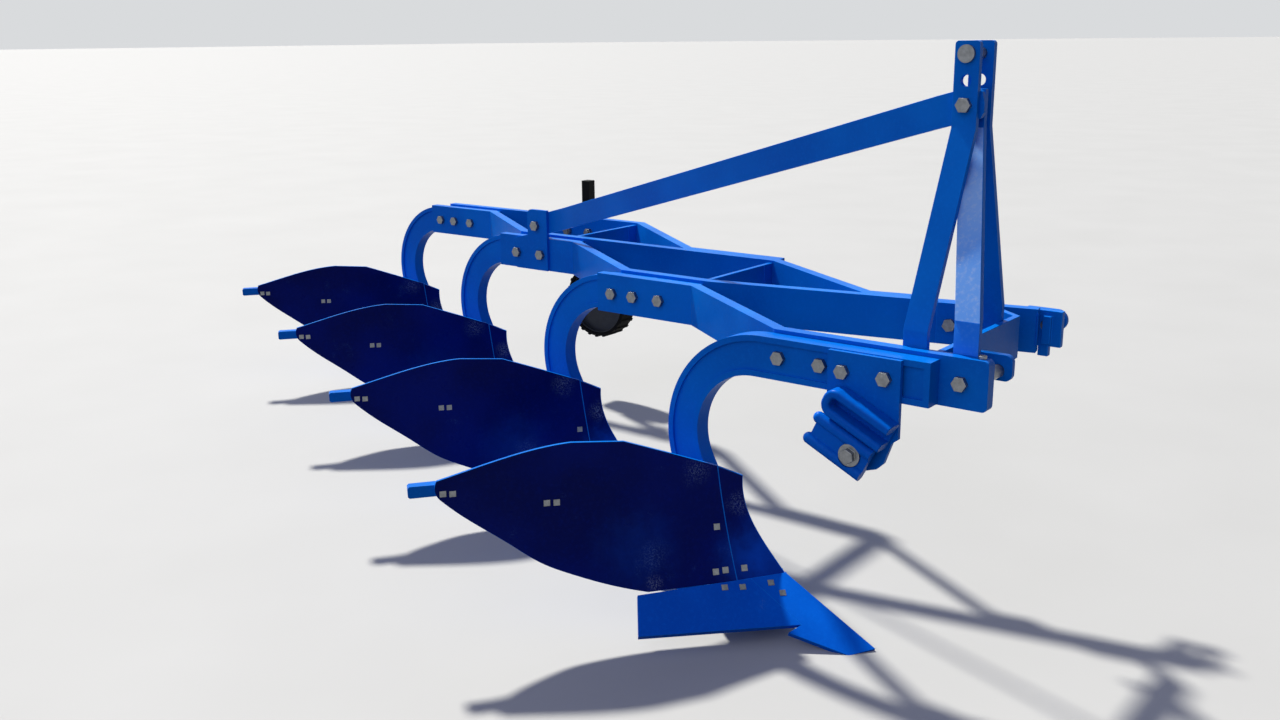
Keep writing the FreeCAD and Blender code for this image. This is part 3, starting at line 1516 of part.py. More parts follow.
def brace_shape():
    """A flat bar from a foot on the leg's near side to a foot on the board's back."""
    turn = board_turn().inverted()
    half, thick = float(s.brace_tall) / 2, float(s.brace_thick)
    up = float(s.board_height) * BRACE_HEIGHT_SHARE
    leg_x, near = float(foot_centre(as_size(up))), -float(FACE)
    reach = float(s.brace_foot) / 2
    on_leg = turn.multVec(Vector(leg_x + reach, near - thick / 2, 0))
    leave = turn.multVec(Vector(leg_x - reach, near - thick / 2, 0))
    along = float(s.board_length) * BRACE_REACH_SHARE
    depth = board_depth(along, up) - float(s.board_thick) - thick / 2 + float(s.brace_sink)
    path = [on_leg, leave, Vector(along - reach, depth, 0), Vector(along + reach, depth, 0)]
    pieces = []
    for start, stop in zip(path, path[1:]):
        run = stop - start
        box = Part.makeBox(run.Length + thick, thick, 2 * half, Vector(-thick / 2, -thick / 2, -half))
        angle = math.degrees(math.atan2(run.y, run.x))
        frame = FreeCAD.Placement(Vector(start.x, start.y, up),
                                  FreeCAD.Rotation(Vector(0, 0, 1), angle))
        pieces.append(placed(box, frame))
    bar = pieces[0].fuse(pieces[1:])
    bar = bar.cut(board_space(float(s.board_thick) + float(s.frog_clear)))
    wide = 4 * float(s.brace_foot)
    leg = Part.makeBox(2 * wide, wide, wide, Vector(leg_x - wide, near, up - wide / 2))
    leg = placed(leg, FreeCAD.Placement(Vector(), turn))
    return bar.cut(leg).removeSplitter()


BRACE_HEIGHT_SHARE = 0.698
BRACE_REACH_SHARE = 0.721


def make_tails_and_braces():
    tail = drilled(tail_shapes(), BOARD_FRAMES[:2], 2 * float(s.tail_thick))
    brace = brace_shape()
    for frame in BOARD_FRAMES[2:4]:
        brace = brace.cut(placed(nut_tool(BRACE_SEAT), frame))
    zero = (as_size(0), as_size(0), as_size(0))
    tails, braces = [], []
    for number in range(4):
        tails += in_body([tail], board_turn(), zero, number)
        braces += in_body([brace], board_turn(), zero, number)
    label(solid_feature("tail_pieces", Part.makeCompound(tails)), "tail_pieces")
    label(solid_feature("board_braces", Part.makeCompound(braces)), "board_braces")


# Every frame bolt and nut is gathered here
BOLTS, NUTS = [], []


# The skim bracket on the first leg, with its empty clamp
def make_skim_bracket():
    bracket = new_body("skim_bracket", (0, SKIM_FACE, 0))
    width = s.skim_left + s.skim_right
    tall = s.skim_top - s.skim_low_z
    outline = [(s.skim_right - width * across, s.skim_top - tall * up)
               for across, up in SKIM_OUTLINE_SHARES]
    pad(bracket, "XZ_Plane", [outline], s.skim_thick, back=True)
    bolts = [(across, up, BOLT_HOLE) for across, up in ROWS[0][2:]]
    clamp = clamp_bolt_place()
    bolts.append((clamp[0], clamp[1], s.clamp_bolt_diameter + 2 * s.bolt_play))
    cut(bracket, "XZ_Plane", circles=bolts)
    SUB_PARTS.append(bracket)


SKIM_OUTLINE_SHARES = ((0, 0), (0, 0.67), (0.08, 0.71), (0.18, 0.9), (0.27, 0.96), (0.45, 1),
                       (0.85, 0.82), (1, 0.6), (1, 0))


def clamp_place(along, down):
    """A place on the bracket's face, along the clamp and square down from its upper edge."""
    turn = s.skim_slope_turn
    return (s.saddle_x + along * cosine(turn) - down * sine(turn),
            s.saddle_z - along * sine(turn) - down * cosine(turn))


def clamp_bolt_place():
    return clamp_place(s.clamp_bolt_along, s.clamp_bolt_down)


def put_on_clamp(piece, name):
    piece.Label = name
    turn = FreeCAD.Rotation(Vector(0, 1, 0), float(s.skim_slope_turn))
    put(piece, (s.saddle_x, SKIM_FACE, s.saddle_z), turn)
    SUB_PARTS.append(piece)


def make_saddle():
    """A trough along the slope between rounded ribs that meet at its rear; its front is open."""
    tall, rib, proud = s.saddle_tall, s.saddle_rib, s.saddle_proud
    saddle = document.addObject("PartDesign::Body", "clamp_saddle")
    outline = [(0, 0), (s.saddle_long, 0), (s.saddle_long, -tall), (0, -tall)]
    pad(saddle, "XZ_Plane", [outline], proud)
    round_corners(saddle, "XZ_Plane", [outline[0], outline[3]], s.saddle_round)
    stop = s.saddle_long + s.overrun
    trough = [(rib, -rib), (stop, -rib), (stop, rib - tall), (rib, rib - tall)]
    cut(saddle, "XZ_Plane", [trough], offset=proud, deep=proud - s.saddle_wall)
    round_corners(saddle, "XZ_Plane", [trough[0], trough[3]], s.saddle_round - rib)
    crests = [(-proud, up) for up in (as_size(0), -rib, rib - tall, -tall)]
    round_corners(saddle, "YZ_Plane", crests, s.saddle_crest)
    put_on_clamp(saddle, "clamp_saddle")


def jaw_solids():
    """The jaw in the clamp's frame: a plate between two round-ended ribs, and a foot behind."""
    top = -(s.saddle_tall + s.jaw_gap)
    low = top - s.jaw_tall
    face = -(s.jaw_seat + s.jaw_thick)
    half = s.jaw_rib / 2
    middle = face + s.jaw_ridge / 2
    start = half - s.jaw_lead
    long = s.jaw_long - half
    plate = block("jaw_plate", (start, face, low + half),
                  (long, s.jaw_thick, s.jaw_tall - s.jaw_rib))
    foot = block("jaw_foot", (s.jaw_foot_start, middle, low + half - s.jaw_foot_thick / 2),
                 (s.jaw_foot_long, -middle - s.jaw_rest, s.jaw_foot_thick))
    ribs = []
    for index, up in enumerate((low + half, top - half)):
        ribs.append(rod(f"jaw_rib_{index}", "x", (middle, up), start, long, s.jaw_rib))
        ball = document.addObject("Part::Sphere", f"jaw_rib_end_{index}")
        bind(ball, "Radius", half)
        for letter, amount in zip("xyz", (start, middle, up)):
            bind(ball, f"Placement.Base.{letter}", amount)
        ribs.append(ball)
    whole = fused("jaw_solid", [plate, foot] + ribs)
    spot = rod("jaw_spot", "y", (s.clamp_bolt_along, -s.clamp_bolt_down), face - 2 * s.overrun,
               2 * s.overrun, s.clamp_ring + 2 * s.bolt_play)
    hole = rod("jaw_hole", "y", (s.clamp_bolt_along, -s.clamp_bolt_down), face - s.overrun,
               s.jaw_thick + s.jaw_seat + 2 * s.overrun, s.clamp_bolt_diameter + 2 * s.bolt_play)
    return taken("clamp_jaw", whole, gathered("jaw_cuts", [spot, hole]))


def make_clamp():
    put_on_clamp(jaw_solids(), "clamp_jaw")
    centre = (s.clamp_bolt_along, -s.clamp_bolt_down)
    face = -(s.jaw_seat + s.jaw_thick)
    ring = rod("clamp_ring", "y", centre, face - s.jaw_slack - s.clamp_ring_thick,
               s.clamp_ring_thick, s.clamp_ring)
    head = hexagon("clamp_head", "y", centre, face - s.jaw_slack - s.clamp_ring_thick - s.bolt_head,
                   s.bolt_head, s.clamp_nut_flats)
    start = face - s.jaw_slack - s.clamp_ring_thick
    end = s.skim_thick + s.nut_thick + s.bolt_tail
    shank = rod("clamp_shank", "y", centre, start, end - start, s.clamp_bolt_diameter)
    put_on_clamp(fused("clamp_bolt", [ring, head, shank]), "clamp_bolt")
    NUTS.append(hex_nut("clamp_nut", clamp_bolt_place(), -FACE, s.clamp_bolt_diameter,
                        s.clamp_nut_flats))


# The depth wheel: a square stem in a clamp on the rear bar's far face, and a wheel on its axle
STIFFENER_FAR = body_place(3)[1] + FACE + s.beam_thick
STEM_NEAR = STIFFENER_FAR + s.clamp_plate
STEM_FAR = STEM_NEAR + s.stem_side + s.stem_play
WHEEL_NEAR = STEM_FAR + s.axle_collar_thick + s.hub_gap


def clamp_bolt_x(side):
    return -s.wheel_x + side * (s.stem_side / 2 + s.clamp_wall + s.clamp_wing / 2)


def make_stem():
    centre = (-s.wheel_x, s.wheel_z)
    half = s.stem_side / 2
    low = s.wheel_z - s.stem_heel
    bar = block("stem_bar", (-s.wheel_x - half, STEM_NEAR + s.stem_play, low),
                (s.stem_side, s.stem_side - s.stem_play, s.stem_top - low))
    collar = rod("axle_collar", "y", centre, STEM_FAR - s.stem_play, s.axle_collar_thick,
                 s.axle_collar)
    axle = rod("axle", "y", centre, STEM_FAR - s.stem_play,
               s.axle_collar_thick + 2 * s.hub_gap + s.hub_long, s.axle_diameter)
    label(fused("wheel_stem", [bar, collar, axle]), "wheel_stem")
    cap = rod("cap_disc", "y", centre,
              STEM_FAR - s.stem_play + s.axle_collar_thick + 2 * s.hub_gap + s.hub_long,
              s.axle_cap_thick, s.axle_cap)
    label(gathered("axle_cap_group", [cap]), "axle_cap")


def make_stem_clamp():
    wide = s.stem_side + 2 * s.clamp_wall
    low = s.leg_bolt_z - s.clamp_tall / 2
    plate = block("clamp_plate", (-s.wheel_x - wide / 2 - s.clamp_wing, STIFFENER_FAR, low),
                  (wide + 2 * s.clamp_wing, s.clamp_plate, s.clamp_tall))
    housing = block("clamp_housing", (-s.wheel_x - wide / 2, STEM_NEAR, low),
                    (wide, s.stem_side + s.clamp_wall, s.clamp_tall))
    body = fused("stem_clamp_solid", [plate, housing])
    slot = block("stem_slot", (-s.wheel_x - s.stem_side / 2 - s.stem_play, STEM_NEAR,
                               low - s.overrun),
                 (s.stem_side + 2 * s.stem_play, s.stem_side + s.stem_play,
                  s.clamp_tall + 2 * s.overrun))
    screw = rod("screw_bore", "y", (-s.wheel_x, s.leg_bolt_z), STEM_FAR - s.overrun / 2,
                s.clamp_wall + s.overrun, s.screw_diameter + 2 * s.thread_play)
    bolts = holes_along_y("stem_clamp", [(clamp_bolt_x(side), s.leg_bolt_z) for side in (-1, 1)])
    label(taken("stem_clamp", body, gathered("stem_clamp_cuts", [slot, screw, bolts])),
          "stem_clamp")
    start = STEM_FAR + s.stem_play
    long = s.clamp_wall + s.screw_tail
    shank = rod("screw_shank", "y", (-s.wheel_x, s.leg_bolt_z), start, long, s.screw_diameter)
    head = hexagon("screw_head", "y", (-s.wheel_x, s.leg_bolt_z), start + long,
                   s.screw_head_thick, s.screw_head)
    label(fused("clamp_screw", [shank, head]), "clamp_screw")


def revolved(name, outline, centre):
    """A solid of revolution about the wheel's axle: across is the radius, up is along the axle."""
    body = document.addObject("PartDesign::Body", name)
    sketch = new_sketch(body, "XY_Plane", [outline])
    turned = body.newObject("PartDesign::Revolution", name + "_turned")
    turned.Profile = sketch
    turned.ReferenceAxis = (sketch, ["V_Axis"])
    turned.Angle = 360
    document.recompute()
    body.Label = name
    put(body, centre)
    return body


def make_wheel():
    """The rim, its dished disc and the hub sleeve as one welded wheel, and the tyre on it."""
    near = WHEEL_NEAR
    rim_out = s.wheel_radius - s.tyre_thick
    rim_in = rim_out - s.rim_thick
    hub_out, bore = s.hub_diameter / 2, s.axle_diameter / 2 + s.axle_play
    edge = (s.wheel_width - s.rim_width) / 2
    outline = [(bore, 0), (hub_out, 0), (hub_out, s.disc_place), (rim_in, edge + s.disc_dish),
               (rim_in, edge), (rim_out, edge), (rim_out, edge + s.rim_width),
               (rim_in, edge + s.rim_width), (rim_in, edge + s.disc_dish + s.disc_thick),
               (hub_out, s.disc_place + s.disc_thick), (hub_out, s.hub_long), (bore, s.hub_long)]
    wheel = revolved("wheel_rim", outline, (-s.wheel_x, near, s.wheel_z))
    SUB_PARTS.append(wheel)
    seat = rim_out + s.tyre_play
    tyre = revolved("tyre_ring", [(seat, 0), (s.wheel_radius - s.tyre_lug, 0),
                                  (s.wheel_radius - s.tyre_lug, s.wheel_width),
                                  (seat, s.wheel_width)],
                    (0, 0, 0))
    bind(tyre, "Placement.Base.x", 0)
    bind(tyre, "Placement.Base.y", 0)
    lug = block("tyre_lug", (s.wheel_radius - 2 * s.tyre_lug, 0, -s.lug_width / 2),
                (2 * s.tyre_lug, s.wheel_width, s.lug_width))
    lugs = document.addObject("Part::Feature", "tyre_lugs")
    document.recompute()
    lugs.Shape = Part.makeCompound(
        [placed(lug.Shape, FreeCAD.Placement(Vector(), FreeCAD.Rotation(Vector(0, 1, 0), turn)))
         for turn in range(0, 360, 360 // TYRE_LUGS)])
    whole = fused("tyre", [tyre, lugs])
    whole.Label = "tyre"
    put(whole, (-s.wheel_x, near, s.wheel_z))
    SUB_PARTS.append(whole)


TYRE_LUGS = 24


# Hexagon bolts and nuts through the frame
def hex_bolt(name, place, near, far, diameter, flats, nut_at=None, turn_back=False):
    """A bolt from its head's seat at near to the nut's seat at far, along +Y."""
    head_low = near - s.bolt_head if not turn_back else near
    tail = s.nut_thick + s.bolt_tail if nut_at is not None else as_size(0)
    head = hexagon(name + "_head", "y", place, head_low, s.bolt_head, flats)
    low, high = (near, far + tail) if not turn_back else (far, near)
    shank = rod(name + "_shank", "y", place, low, high - low, diameter)
    BOLTS.append(fused(name, [head, shank]))
    if nut_at is not None:
        NUTS.append(hex_nut(name + "_nut", place, nut_at, diameter, flats))


def hex_nut(name, place, near, diameter, flats):
    body = hexagon(name + "_body", "y", place, near, s.nut_thick, flats)
    bore = rod(name + "_bore", "y", place, near - s.overrun, s.nut_thick + 2 * s.overrun,
               diameter + 2 * s.thread_play)
    return taken(name, body, bore)


def make_frame_bolts():
    bolt, flats = s.bolt_diameter, s.bolt_flats
    floor = s.leg_recess_deep - FACE
    seats = [floor, floor, SKIM_FACE, SKIM_FACE]
    for index, place in enumerate(ROWS[0]):
        nut_at = None if index == 3 else BEAM_FAR
        far = BEAM_FAR - s.bolt_play if index == 3 else BEAM_FAR
        hex_bolt(f"leg_1_bolt_{index}", place, seats[index], far, bolt, flats, nut_at)
    for number in (1, 2, 3):
        north = body_place(number)[1]
        near = north - BEAM_FAR - (s.bracket_thick if number == 2 else 0)
        far = north + BEAM_FAR
        for index, place in enumerate(ROWS[number]):
            hex_bolt(f"leg_{number + 1}_bolt_{index}", place, near, far, bolt, flats, far)
    middle = BEAM_FAR + s.bar_thick
    hex_bolt("middle_foot_bolt", (s.middle_bolt_x, s.leg_bolt_z), FACE, middle, bolt, flats, middle)
    hex_bolt("right_foot_bolt", (s.right_foot_x, s.leg_bolt_z), middle, FACE + s.bolt_play, bolt,
             flats, turn_back=True)
    far = s.mast_near_y + s.mast_spread
    hex_bolt("mast_bolt", (s.mast_x, s.mast_bolt_z), s.mast_near_y, far, bolt, flats, far)
    far = BRACKET_FAR + s.stay_thick
    hex_bolt("stay_bolt", (-s.stay_rear_x, s.stay_rear_z), BRACKET_FAR - s.bracket_thick, far,
             bolt, flats, far)
    near = body_place(3)[1] + FACE
    for side in (-1, 1):
        place = (clamp_bolt_x(side), s.leg_bolt_z)
        hex_bolt(f"clamp_bolt_{side + 2}", place, STEM_NEAR, near - s.nut_thick - s.bolt_tail, bolt,
                 flats, turn_back=True)
        NUTS.append(hex_nut(f"clamp_nut_{side + 2}", place, near - s.nut_thick, bolt, flats))
    for number in range(4):
        east, north = body_place(number)
        for index, (across, up) in enumerate(FROG_BOLTS):
            near = north - FACE + s.leg_recess_deep
            far = north + FACE + s.frog_web
            hex_bolt(f"frog_{number + 1}_bolt_{index}", (east + across, up), near, far,
                     s.frog_bolt_diameter, s.frog_bolt_flats, far)
    make_flare_bolt()
    label(gathered("frame_bolts", BOLTS + NUTS), "frame_bolts")


def make_flare_bolt():
    """The bolt through the cross plate's foot, square to the flared half."""
    across, up = flare_unit()
    near = -s.cross_plate_thick
    shank = flare_rod("flare_shank", s.bolt_diameter, near,
                      s.beam_thick + s.cross_plate_thick + s.nut_thick + s.bolt_tail)
    pieces = []
    for name, aside, tall in (("flare_head", near - s.bolt_head, s.bolt_head),
                              ("flare_nut_body", s.beam_thick, s.nut_thick)):
        piece = document.addObject("Part::Prism", name)
        piece.Polygon = 6
        set_square_to_flare(piece, flare_place(s.cross_foot_x - s.cross_bolt_back * across, aside))
        bind(piece, "Circumradius", s.bolt_flats / root(as_size(3)))
        bind(piece, "Height", tall)
        pieces.append(piece)
    BOLTS.append(fused("flare_bolt", [shank, pieces[0]]))
    bore = flare_rod("flare_nut_bore", s.bolt_diameter + 2 * s.thread_play, as_size(0),
                     2 * s.beam_thick + s.overrun)
    NUTS.append(taken("flare_nut", pieces[1], bore))


# Everything is made, checked and written
for leg_number in range(4):
    make_leg(leg_number)
make_beams()
make_stiffener()
make_struts()
make_cross_plate()
make_mast()
make_spacers()
make_stay()
make_stay_bracket()
make_link_pin()
make_linch_pin()
make_hitch_ear()
make_left_hitch()
make_hitch_pins()
make_keeper()
make_shares()
make_boards()
make_plough_bolts()
frog_pad = frog_face_solid()
frog_spaces = nut_spaces()
frog_shin_room = shin_room()
for body_number in range(4):
    make_frog(body_number, frog_pad, frog_spaces, frog_shin_room)
    make_landside(body_number)
make_tails_and_braces()
make_skim_bracket()
make_saddle()
make_clamp()
make_stem()
make_stem_clamp()
make_wheel()
make_frame_bolts()
document.recompute()

for item in document.Objects:
    if any(state in ("Invalid", "Error") for state in item.State):
        raise RuntimeError(f"{item.Label} failed: {item.State}")
os.makedirs("parts", exist_ok=True)
for piece in SUB_PARTS:
    if piece.Shape.isNull() or not piece.Shape.isValid():
        raise RuntimeError(f"{piece.Label} has no valid shape")
    piece.Shape.exportStep(f"parts/{piece.Label}.step")

whole = FreeCAD.BoundBox()
for piece in SUB_PARTS:
    whole.add(piece.Shape.BoundBox)
print(len(SUB_PARTS), "sub-parts; box", whole)
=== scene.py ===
import json
import math

import bmesh
import bpy
from mathutils import Matrix, Vector

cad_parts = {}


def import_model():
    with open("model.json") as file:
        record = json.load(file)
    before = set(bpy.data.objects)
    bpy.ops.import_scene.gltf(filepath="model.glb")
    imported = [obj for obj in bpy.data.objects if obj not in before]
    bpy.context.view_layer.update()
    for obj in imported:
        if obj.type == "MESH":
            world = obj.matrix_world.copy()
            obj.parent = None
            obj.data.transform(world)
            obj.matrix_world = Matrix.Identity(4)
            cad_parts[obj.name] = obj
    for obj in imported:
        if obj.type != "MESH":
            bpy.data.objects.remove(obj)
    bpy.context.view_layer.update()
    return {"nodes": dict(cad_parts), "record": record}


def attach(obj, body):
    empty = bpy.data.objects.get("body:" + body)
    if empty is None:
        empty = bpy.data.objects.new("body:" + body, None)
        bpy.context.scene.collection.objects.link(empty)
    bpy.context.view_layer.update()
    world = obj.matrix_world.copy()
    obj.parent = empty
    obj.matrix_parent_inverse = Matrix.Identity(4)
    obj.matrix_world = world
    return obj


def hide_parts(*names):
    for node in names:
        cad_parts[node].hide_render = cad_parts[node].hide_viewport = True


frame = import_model()
SCENE = bpy.context.scene
NODES = frame["nodes"]
SLOTS = {entry["node"]: entry["material_slot"] for entry in frame["record"]["subparts"]}
BODIES = {node: body for body, nodes in frame["record"]["behaviour"]["bodies"].items()
          for node in nodes}

# part.py measures its solids from the first point's tip. In mm, START brings a place measured
# there into this frame, and STEP leads from one plough body to the next behind it.
START = Vector((1452.937, -350.84, 0.0))
STEP = Vector((-760.0, 380.0, 0.0))


def at(x, y, z):
    """A place in part.py's own measure, in metres in this frame."""
    return (Vector((x, y, z)) + START) / 1000


def linear(value):
    """An sRGB hex colour as linear light."""
    parts = [int(value[i:i + 2], 16) / 255 for i in (1, 3, 5)]
    parts = [c / 12.92 if c <= 0.04045 else ((c + 0.055) / 1.055) ** 2.4 for c in parts]
    return (*parts, 1.0)


# Paint and metal

# Sockets of a Mix node that mixes colours: how much of the colour over the one under it, the
# two colours, and what comes out.
FACTOR, UNDER, OVER, MIXED = 0, 6, 7, 2


def add(tree, kind, inputs=None, **settings):
    """Adds a node with its settings, sets or links its inputs, and gives back its outputs."""
    made = tree.nodes.new("ShaderNode" + kind)
    for key, value in settings.items():
        setattr(made, key, value)
    for key, value in (inputs or {}).items():
        if isinstance(value, bpy.types.NodeSocket):
            tree.links.new(value, made.inputs[key])
        else:
            made.inputs[key].default_value = value
    return made.outputs


def bare(name):
    """A new material with an empty tree, and the place on the plough that its patterns follow."""
    material = bpy.data.materials.new(name)
    material.use_nodes = True
    material.node_tree.nodes.clear()
    return material, material.node_tree, add(material.node_tree, "TexCoord")["Object"]


# How far apart the marks of each pattern in a sprayed film stand in mm, its detail and its
# roughness. A pass of the gun is about 260 mm wide, a hand rubs 90 mm at a time and orange peel
# has a 2 mm pitch. Overspray dust and rubbed grain are really finer than 1 mm and are drawn
# coarser, so that they show in a render.
SPRAY = {"drift": (260, 2, 0.5), "overspray": (9, 6, 0.6), "patch": (90, 5, 0.65),
         "grain": (3.5, 3, 0.7), "edge": (40, 3, 0.6), "uneven": (55, 3, 0.5),
         "peel": (2.2, 2, 0.5), "waves": (38, 2, 0.5)}
# The noise at which a pattern begins to show and is at its strongest, and how strong that is.
SHOWS = {"drift": (0.35, 0.7, 1.0), "overspray": (0.45, 0.75, 0.25), "grain": (0.45, 0.65, 1.0)}
PATCH_BEGINS, PATCH_FULL = 0.6, 0.72
# How much rougher the film is where it is rubbed, and how far its roughness wanders.
RUBBED_DULLS, UNEVEN_DULLS = 0.25, 0.16
# How deep its orange peel and its longer waves are.
PEEL_DEEP_MM, WAVES_DEEP_MM = 0.05, 0.4
# Shares of a mark's reach: how far its edge wanders, and where it is still full and all gone.
MARK_WANDERS, MARK_FULL, MARK_GONE = 1 / 1.4, 0.15, 1.3


def enamel(name, base, light, dark, rubbed, amount, rough=0.34, gloss=0.045, marks=(), number=0):
    """Sprayed machine enamel: the shade drifts, the film has orange peel, and handling has
    rubbed it pale in grainy spots. Marks are lighter places, some of them painted light and the
    rest worn and dusty spots: centre, reach in mm, tint, strength, and whether the grain breaks
    them up."""
    material, tree, where = bare(name)
    cloud = {key: add(tree, "TexNoise", {"Vector": where, "Scale": 1000 / size, "Detail": detail,
                                         "Roughness": coarse})["Fac"]
             for key, (size, detail, coarse) in SPRAY.items()}
    mask = {key: add(tree, "MapRange", {"Value": cloud[key], "From Min": begins, "From Max": full,
                                        "To Max": most}, interpolation_type="SMOOTHSTEP")[0]
            for key, (begins, full, most) in
            {**SHOWS, "patch": (PATCH_BEGINS, PATCH_FULL, amount)}.items()}
    colour = add(tree, "Mix", {FACTOR: mask["drift"], UNDER: linear(dark), OVER: linear(base)},
                 data_type="RGBA")[MIXED]
    colour = add(tree, "Mix", {FACTOR: mask["overspray"], UNDER: colour, OVER: linear(light)},
                 data_type="RGBA")[MIXED]
    for centre, reach_mm, tint, strength, grainy in marks:
        middle, reach = at(*centre) + STEP * number / 1000, reach_mm / 1000
        gap = add(tree, "VectorMath", {0: where, 1: tuple(middle)}, operation="DISTANCE")["Value"]
        ragged = add(tree, "Math", {0: cloud["edge"], 1: MARK_WANDERS * reach, 2: gap},
                     operation="MULTIPLY_ADD")[0]
        light_and_wear = add(tree, "MapRange", {"Value": ragged, "From Min": MARK_FULL * reach,
                                      "From Max": MARK_GONE * reach, "To Min": strength,
                                      "To Max": 0.0}, interpolation_type="SMOOTHSTEP")[0]
        if grainy:
            light_and_wear = add(tree, "Math", {0: light_and_wear, 1: mask["grain"]}, operation="MULTIPLY")[0]
        colour = add(tree, "Mix", {FACTOR: light_and_wear, UNDER: colour, OVER: linear(tint)},
                     data_type="RGBA")[MIXED]
    rub = add(tree, "Math", {0: mask["patch"], 1: mask["grain"]}, operation="MULTIPLY")[0]
    colour = add(tree, "Mix", {FACTOR: rub, UNDER: colour, OVER: linear(rubbed)},
                 data_type="RGBA")[MIXED]
    duller = add(tree, "Math", {0: rub, 1: RUBBED_DULLS, 2: rough - UNEVEN_DULLS / 2},
                 operation="MULTIPLY_ADD")[0]
    duller = add(tree, "Math", {0: cloud["uneven"], 1: UNEVEN_DULLS, 2: duller},
                 operation="MULTIPLY_ADD")[0]
    peel = add(tree, "Bump", {"Height": cloud["peel"], "Distance": PEEL_DEEP_MM / 1000,
                              "Strength": 0.5})[0]
    waves = add(tree, "Bump", {"Height": cloud["waves"], "Distance": WAVES_DEEP_MM / 1000,
                               "Strength": 0.3, "Normal": peel})[0]
    film = add(tree, "BsdfPrincipled", {"Base Color": colour, "Roughness": duller,
                                        "Specular IOR Level": gloss, "Normal": waves})
    add(tree, "OutputMaterial", {"Surface": film[0]})
    return material


def mottled(name, dark, light, cloud_mm, rough, spread, grit_mm, grit_deep_mm, metallic=0.0,
            gloss=0.5):
    """A finish that goes cloudily from dark to light, duller where light, over a fine grit."""
    material, tree, where = bare(name)
    cloud = add(tree, "TexNoise", {"Vector": where, "Scale": 1000 / cloud_mm, "Detail": 5.0,
                                   "Roughness": 0.62})["Fac"]
    grit = add(tree, "TexNoise", {"Vector": where, "Scale": 1000 / grit_mm, "Detail": 3.0,
                                  "Roughness": 0.6})["Fac"]
    colour = add(tree, "Mix", {FACTOR: cloud, UNDER: linear(dark), OVER: linear(light)},
                 data_type="RGBA")[MIXED]
    duller = add(tree, "Math", {0: cloud, 1: spread, 2: rough}, operation="MULTIPLY_ADD")[0]
    bumps = add(tree, "Bump", {"Height": grit, "Distance": grit_deep_mm / 1000,
                               "Strength": 0.7})[0]
    skin = add(tree, "BsdfPrincipled", {"Base Color": colour, "Roughness": duller,
                                        "Metallic": metallic, "Specular IOR Level": gloss,
                                        "Normal": bumps})
    add(tree, "OutputMaterial", {"Surface": skin[0]})
    return material


# The frame is steel bar in bright blue machine enamel, sprayed on: even, satin and a little
# uneven in shade.
FRAME_BLUE = enamel("blue_enamel_sprayed_on_steel", "#037ADC", "#0C88EE", "#036CCE", "#3A88DE",
                    amount=0.2)
# The rolled edges are painted a lighter blue with no gloss, as a painted highlight where they
# catch the light.
EDGE_HIGHLIGHT_BLUE = enamel("painted_highlight_blue_on_rolled_edges", "#1C8CF4", "#3CA0FA", "#107CE4",
                   "#6FACEC", amount=0.35, gloss=0.0)
# Over a casting's or a weld's pebbled skin the same enamel is a little shinier on its points.
CAST_BLUE = enamel("blue_enamel_on_rough_casting", "#0472E0", "#1084F2", "#0364CC", "#3A88DE",
                   amount=0.15, rough=0.3)
# A painted sky reflection on the face that leans to the sky: pale blue, nearly white in streaks.
SHEEN_BLUE = enamel("painted_sky_reflection_blue_enamel", "#A4D2FF", "#F0F8FF", "#74B4FF", "#FAFDFF",
                    amount=0.9, rough=0.3)
# Lower down the bar the painted sky reflection fades, and more of the blue shows.
FADING_REFLECTION_BLUE = enamel("fading_painted_sky_reflection_blue_enamel", "#3C9AFF", "#62B2FF", "#2486F8", "#B8DCFF",
                   amount=0.6, rough=0.3)
# The shares' enamel is a shade lighter than the frame's and scratched by handling.
SHARE_BLUE = enamel("scratched_blue_enamel_on_shares", "#0570EA", "#0F80F6", "#0460D4",
                    "#5F8FD0", amount=0.3)
# The boards' working faces are painted dark blue as painted shade, the shade that they lie in
# away from the light.
# The first two marks are painted light, a lighter blue on the board's lower front and the shin's
# foot; the other four are pale rubbed and dusty places. All come back from board to board.
BOARD_MARKS = (((-505, -225, 205), 150, "#0A3C9C", 0.55, False),
               ((-300, -15, 165), 140, "#0A52C8", 1.0, False),
               ((-425, -92, 383), 55, "#7F93B8", 0.5, True),
               ((-356, -20, 293), 42, "#8FA3C4", 0.55, True),
               ((-470, -205, 190), 60, "#6F8FC8", 0.35, True),
               ((-456, -217, 132), 30, "#A8B4C8", 0.6, True))
SHADED_BOARD_BLUES = [enamel(f"painted_shade_dark_blue_on_board_{number + 1}", "#021A78", "#052490",
                      "#01125E", "#4A6AA8", amount=0.25, rough=0.3, gloss=0.05,
                      marks=BOARD_MARKS, number=number) for number in range(4)]
# Zinc plate on bolts and pins: a pale grey metal with a cloudy, slightly gritty shine. The
# grit is really much finer than 0.9 mm, and is drawn so coarse that it shows.
ZINC = mottled("zinc_plated_steel", "#5A5D61", "#A0A3A6", cloud_mm=11, rough=0.24, spread=0.3,
               grit_mm=0.9, grit_deep_mm=0.04, metallic=0.95)
# Black paint on the wheel's stem: deep and satin, with little to see but its edges.
BLACK = mottled("satin_black_paint_on_steel", "#050505", "#0E0E0F", cloud_mm=30, rough=0.35,
                spread=0.2, grit_mm=2.0, grit_deep_mm=0.06, gloss=0.08)
# Moulded tyre rubber: nearly black and dull, with a film of pale dust.
RUBBER = mottled("moulded_tyre_rubber", "#070707", "#1A1918", cloud_mm=22, rough=0.75,
                 spread=0.12, grit_mm=1.4, grit_deep_mm=0.15, gloss=0.12)
# The wheel's disc is dark grey metallic paint over a sand casting: pebbled and half dull.
CASTING = mottled("grey_painted_sand_casting", "#202225", "#3E4145", cloud_mm=18, rough=0.42,
                  spread=0.2, grit_mm=1.8, grit_deep_mm=0.2, metallic=0.35)

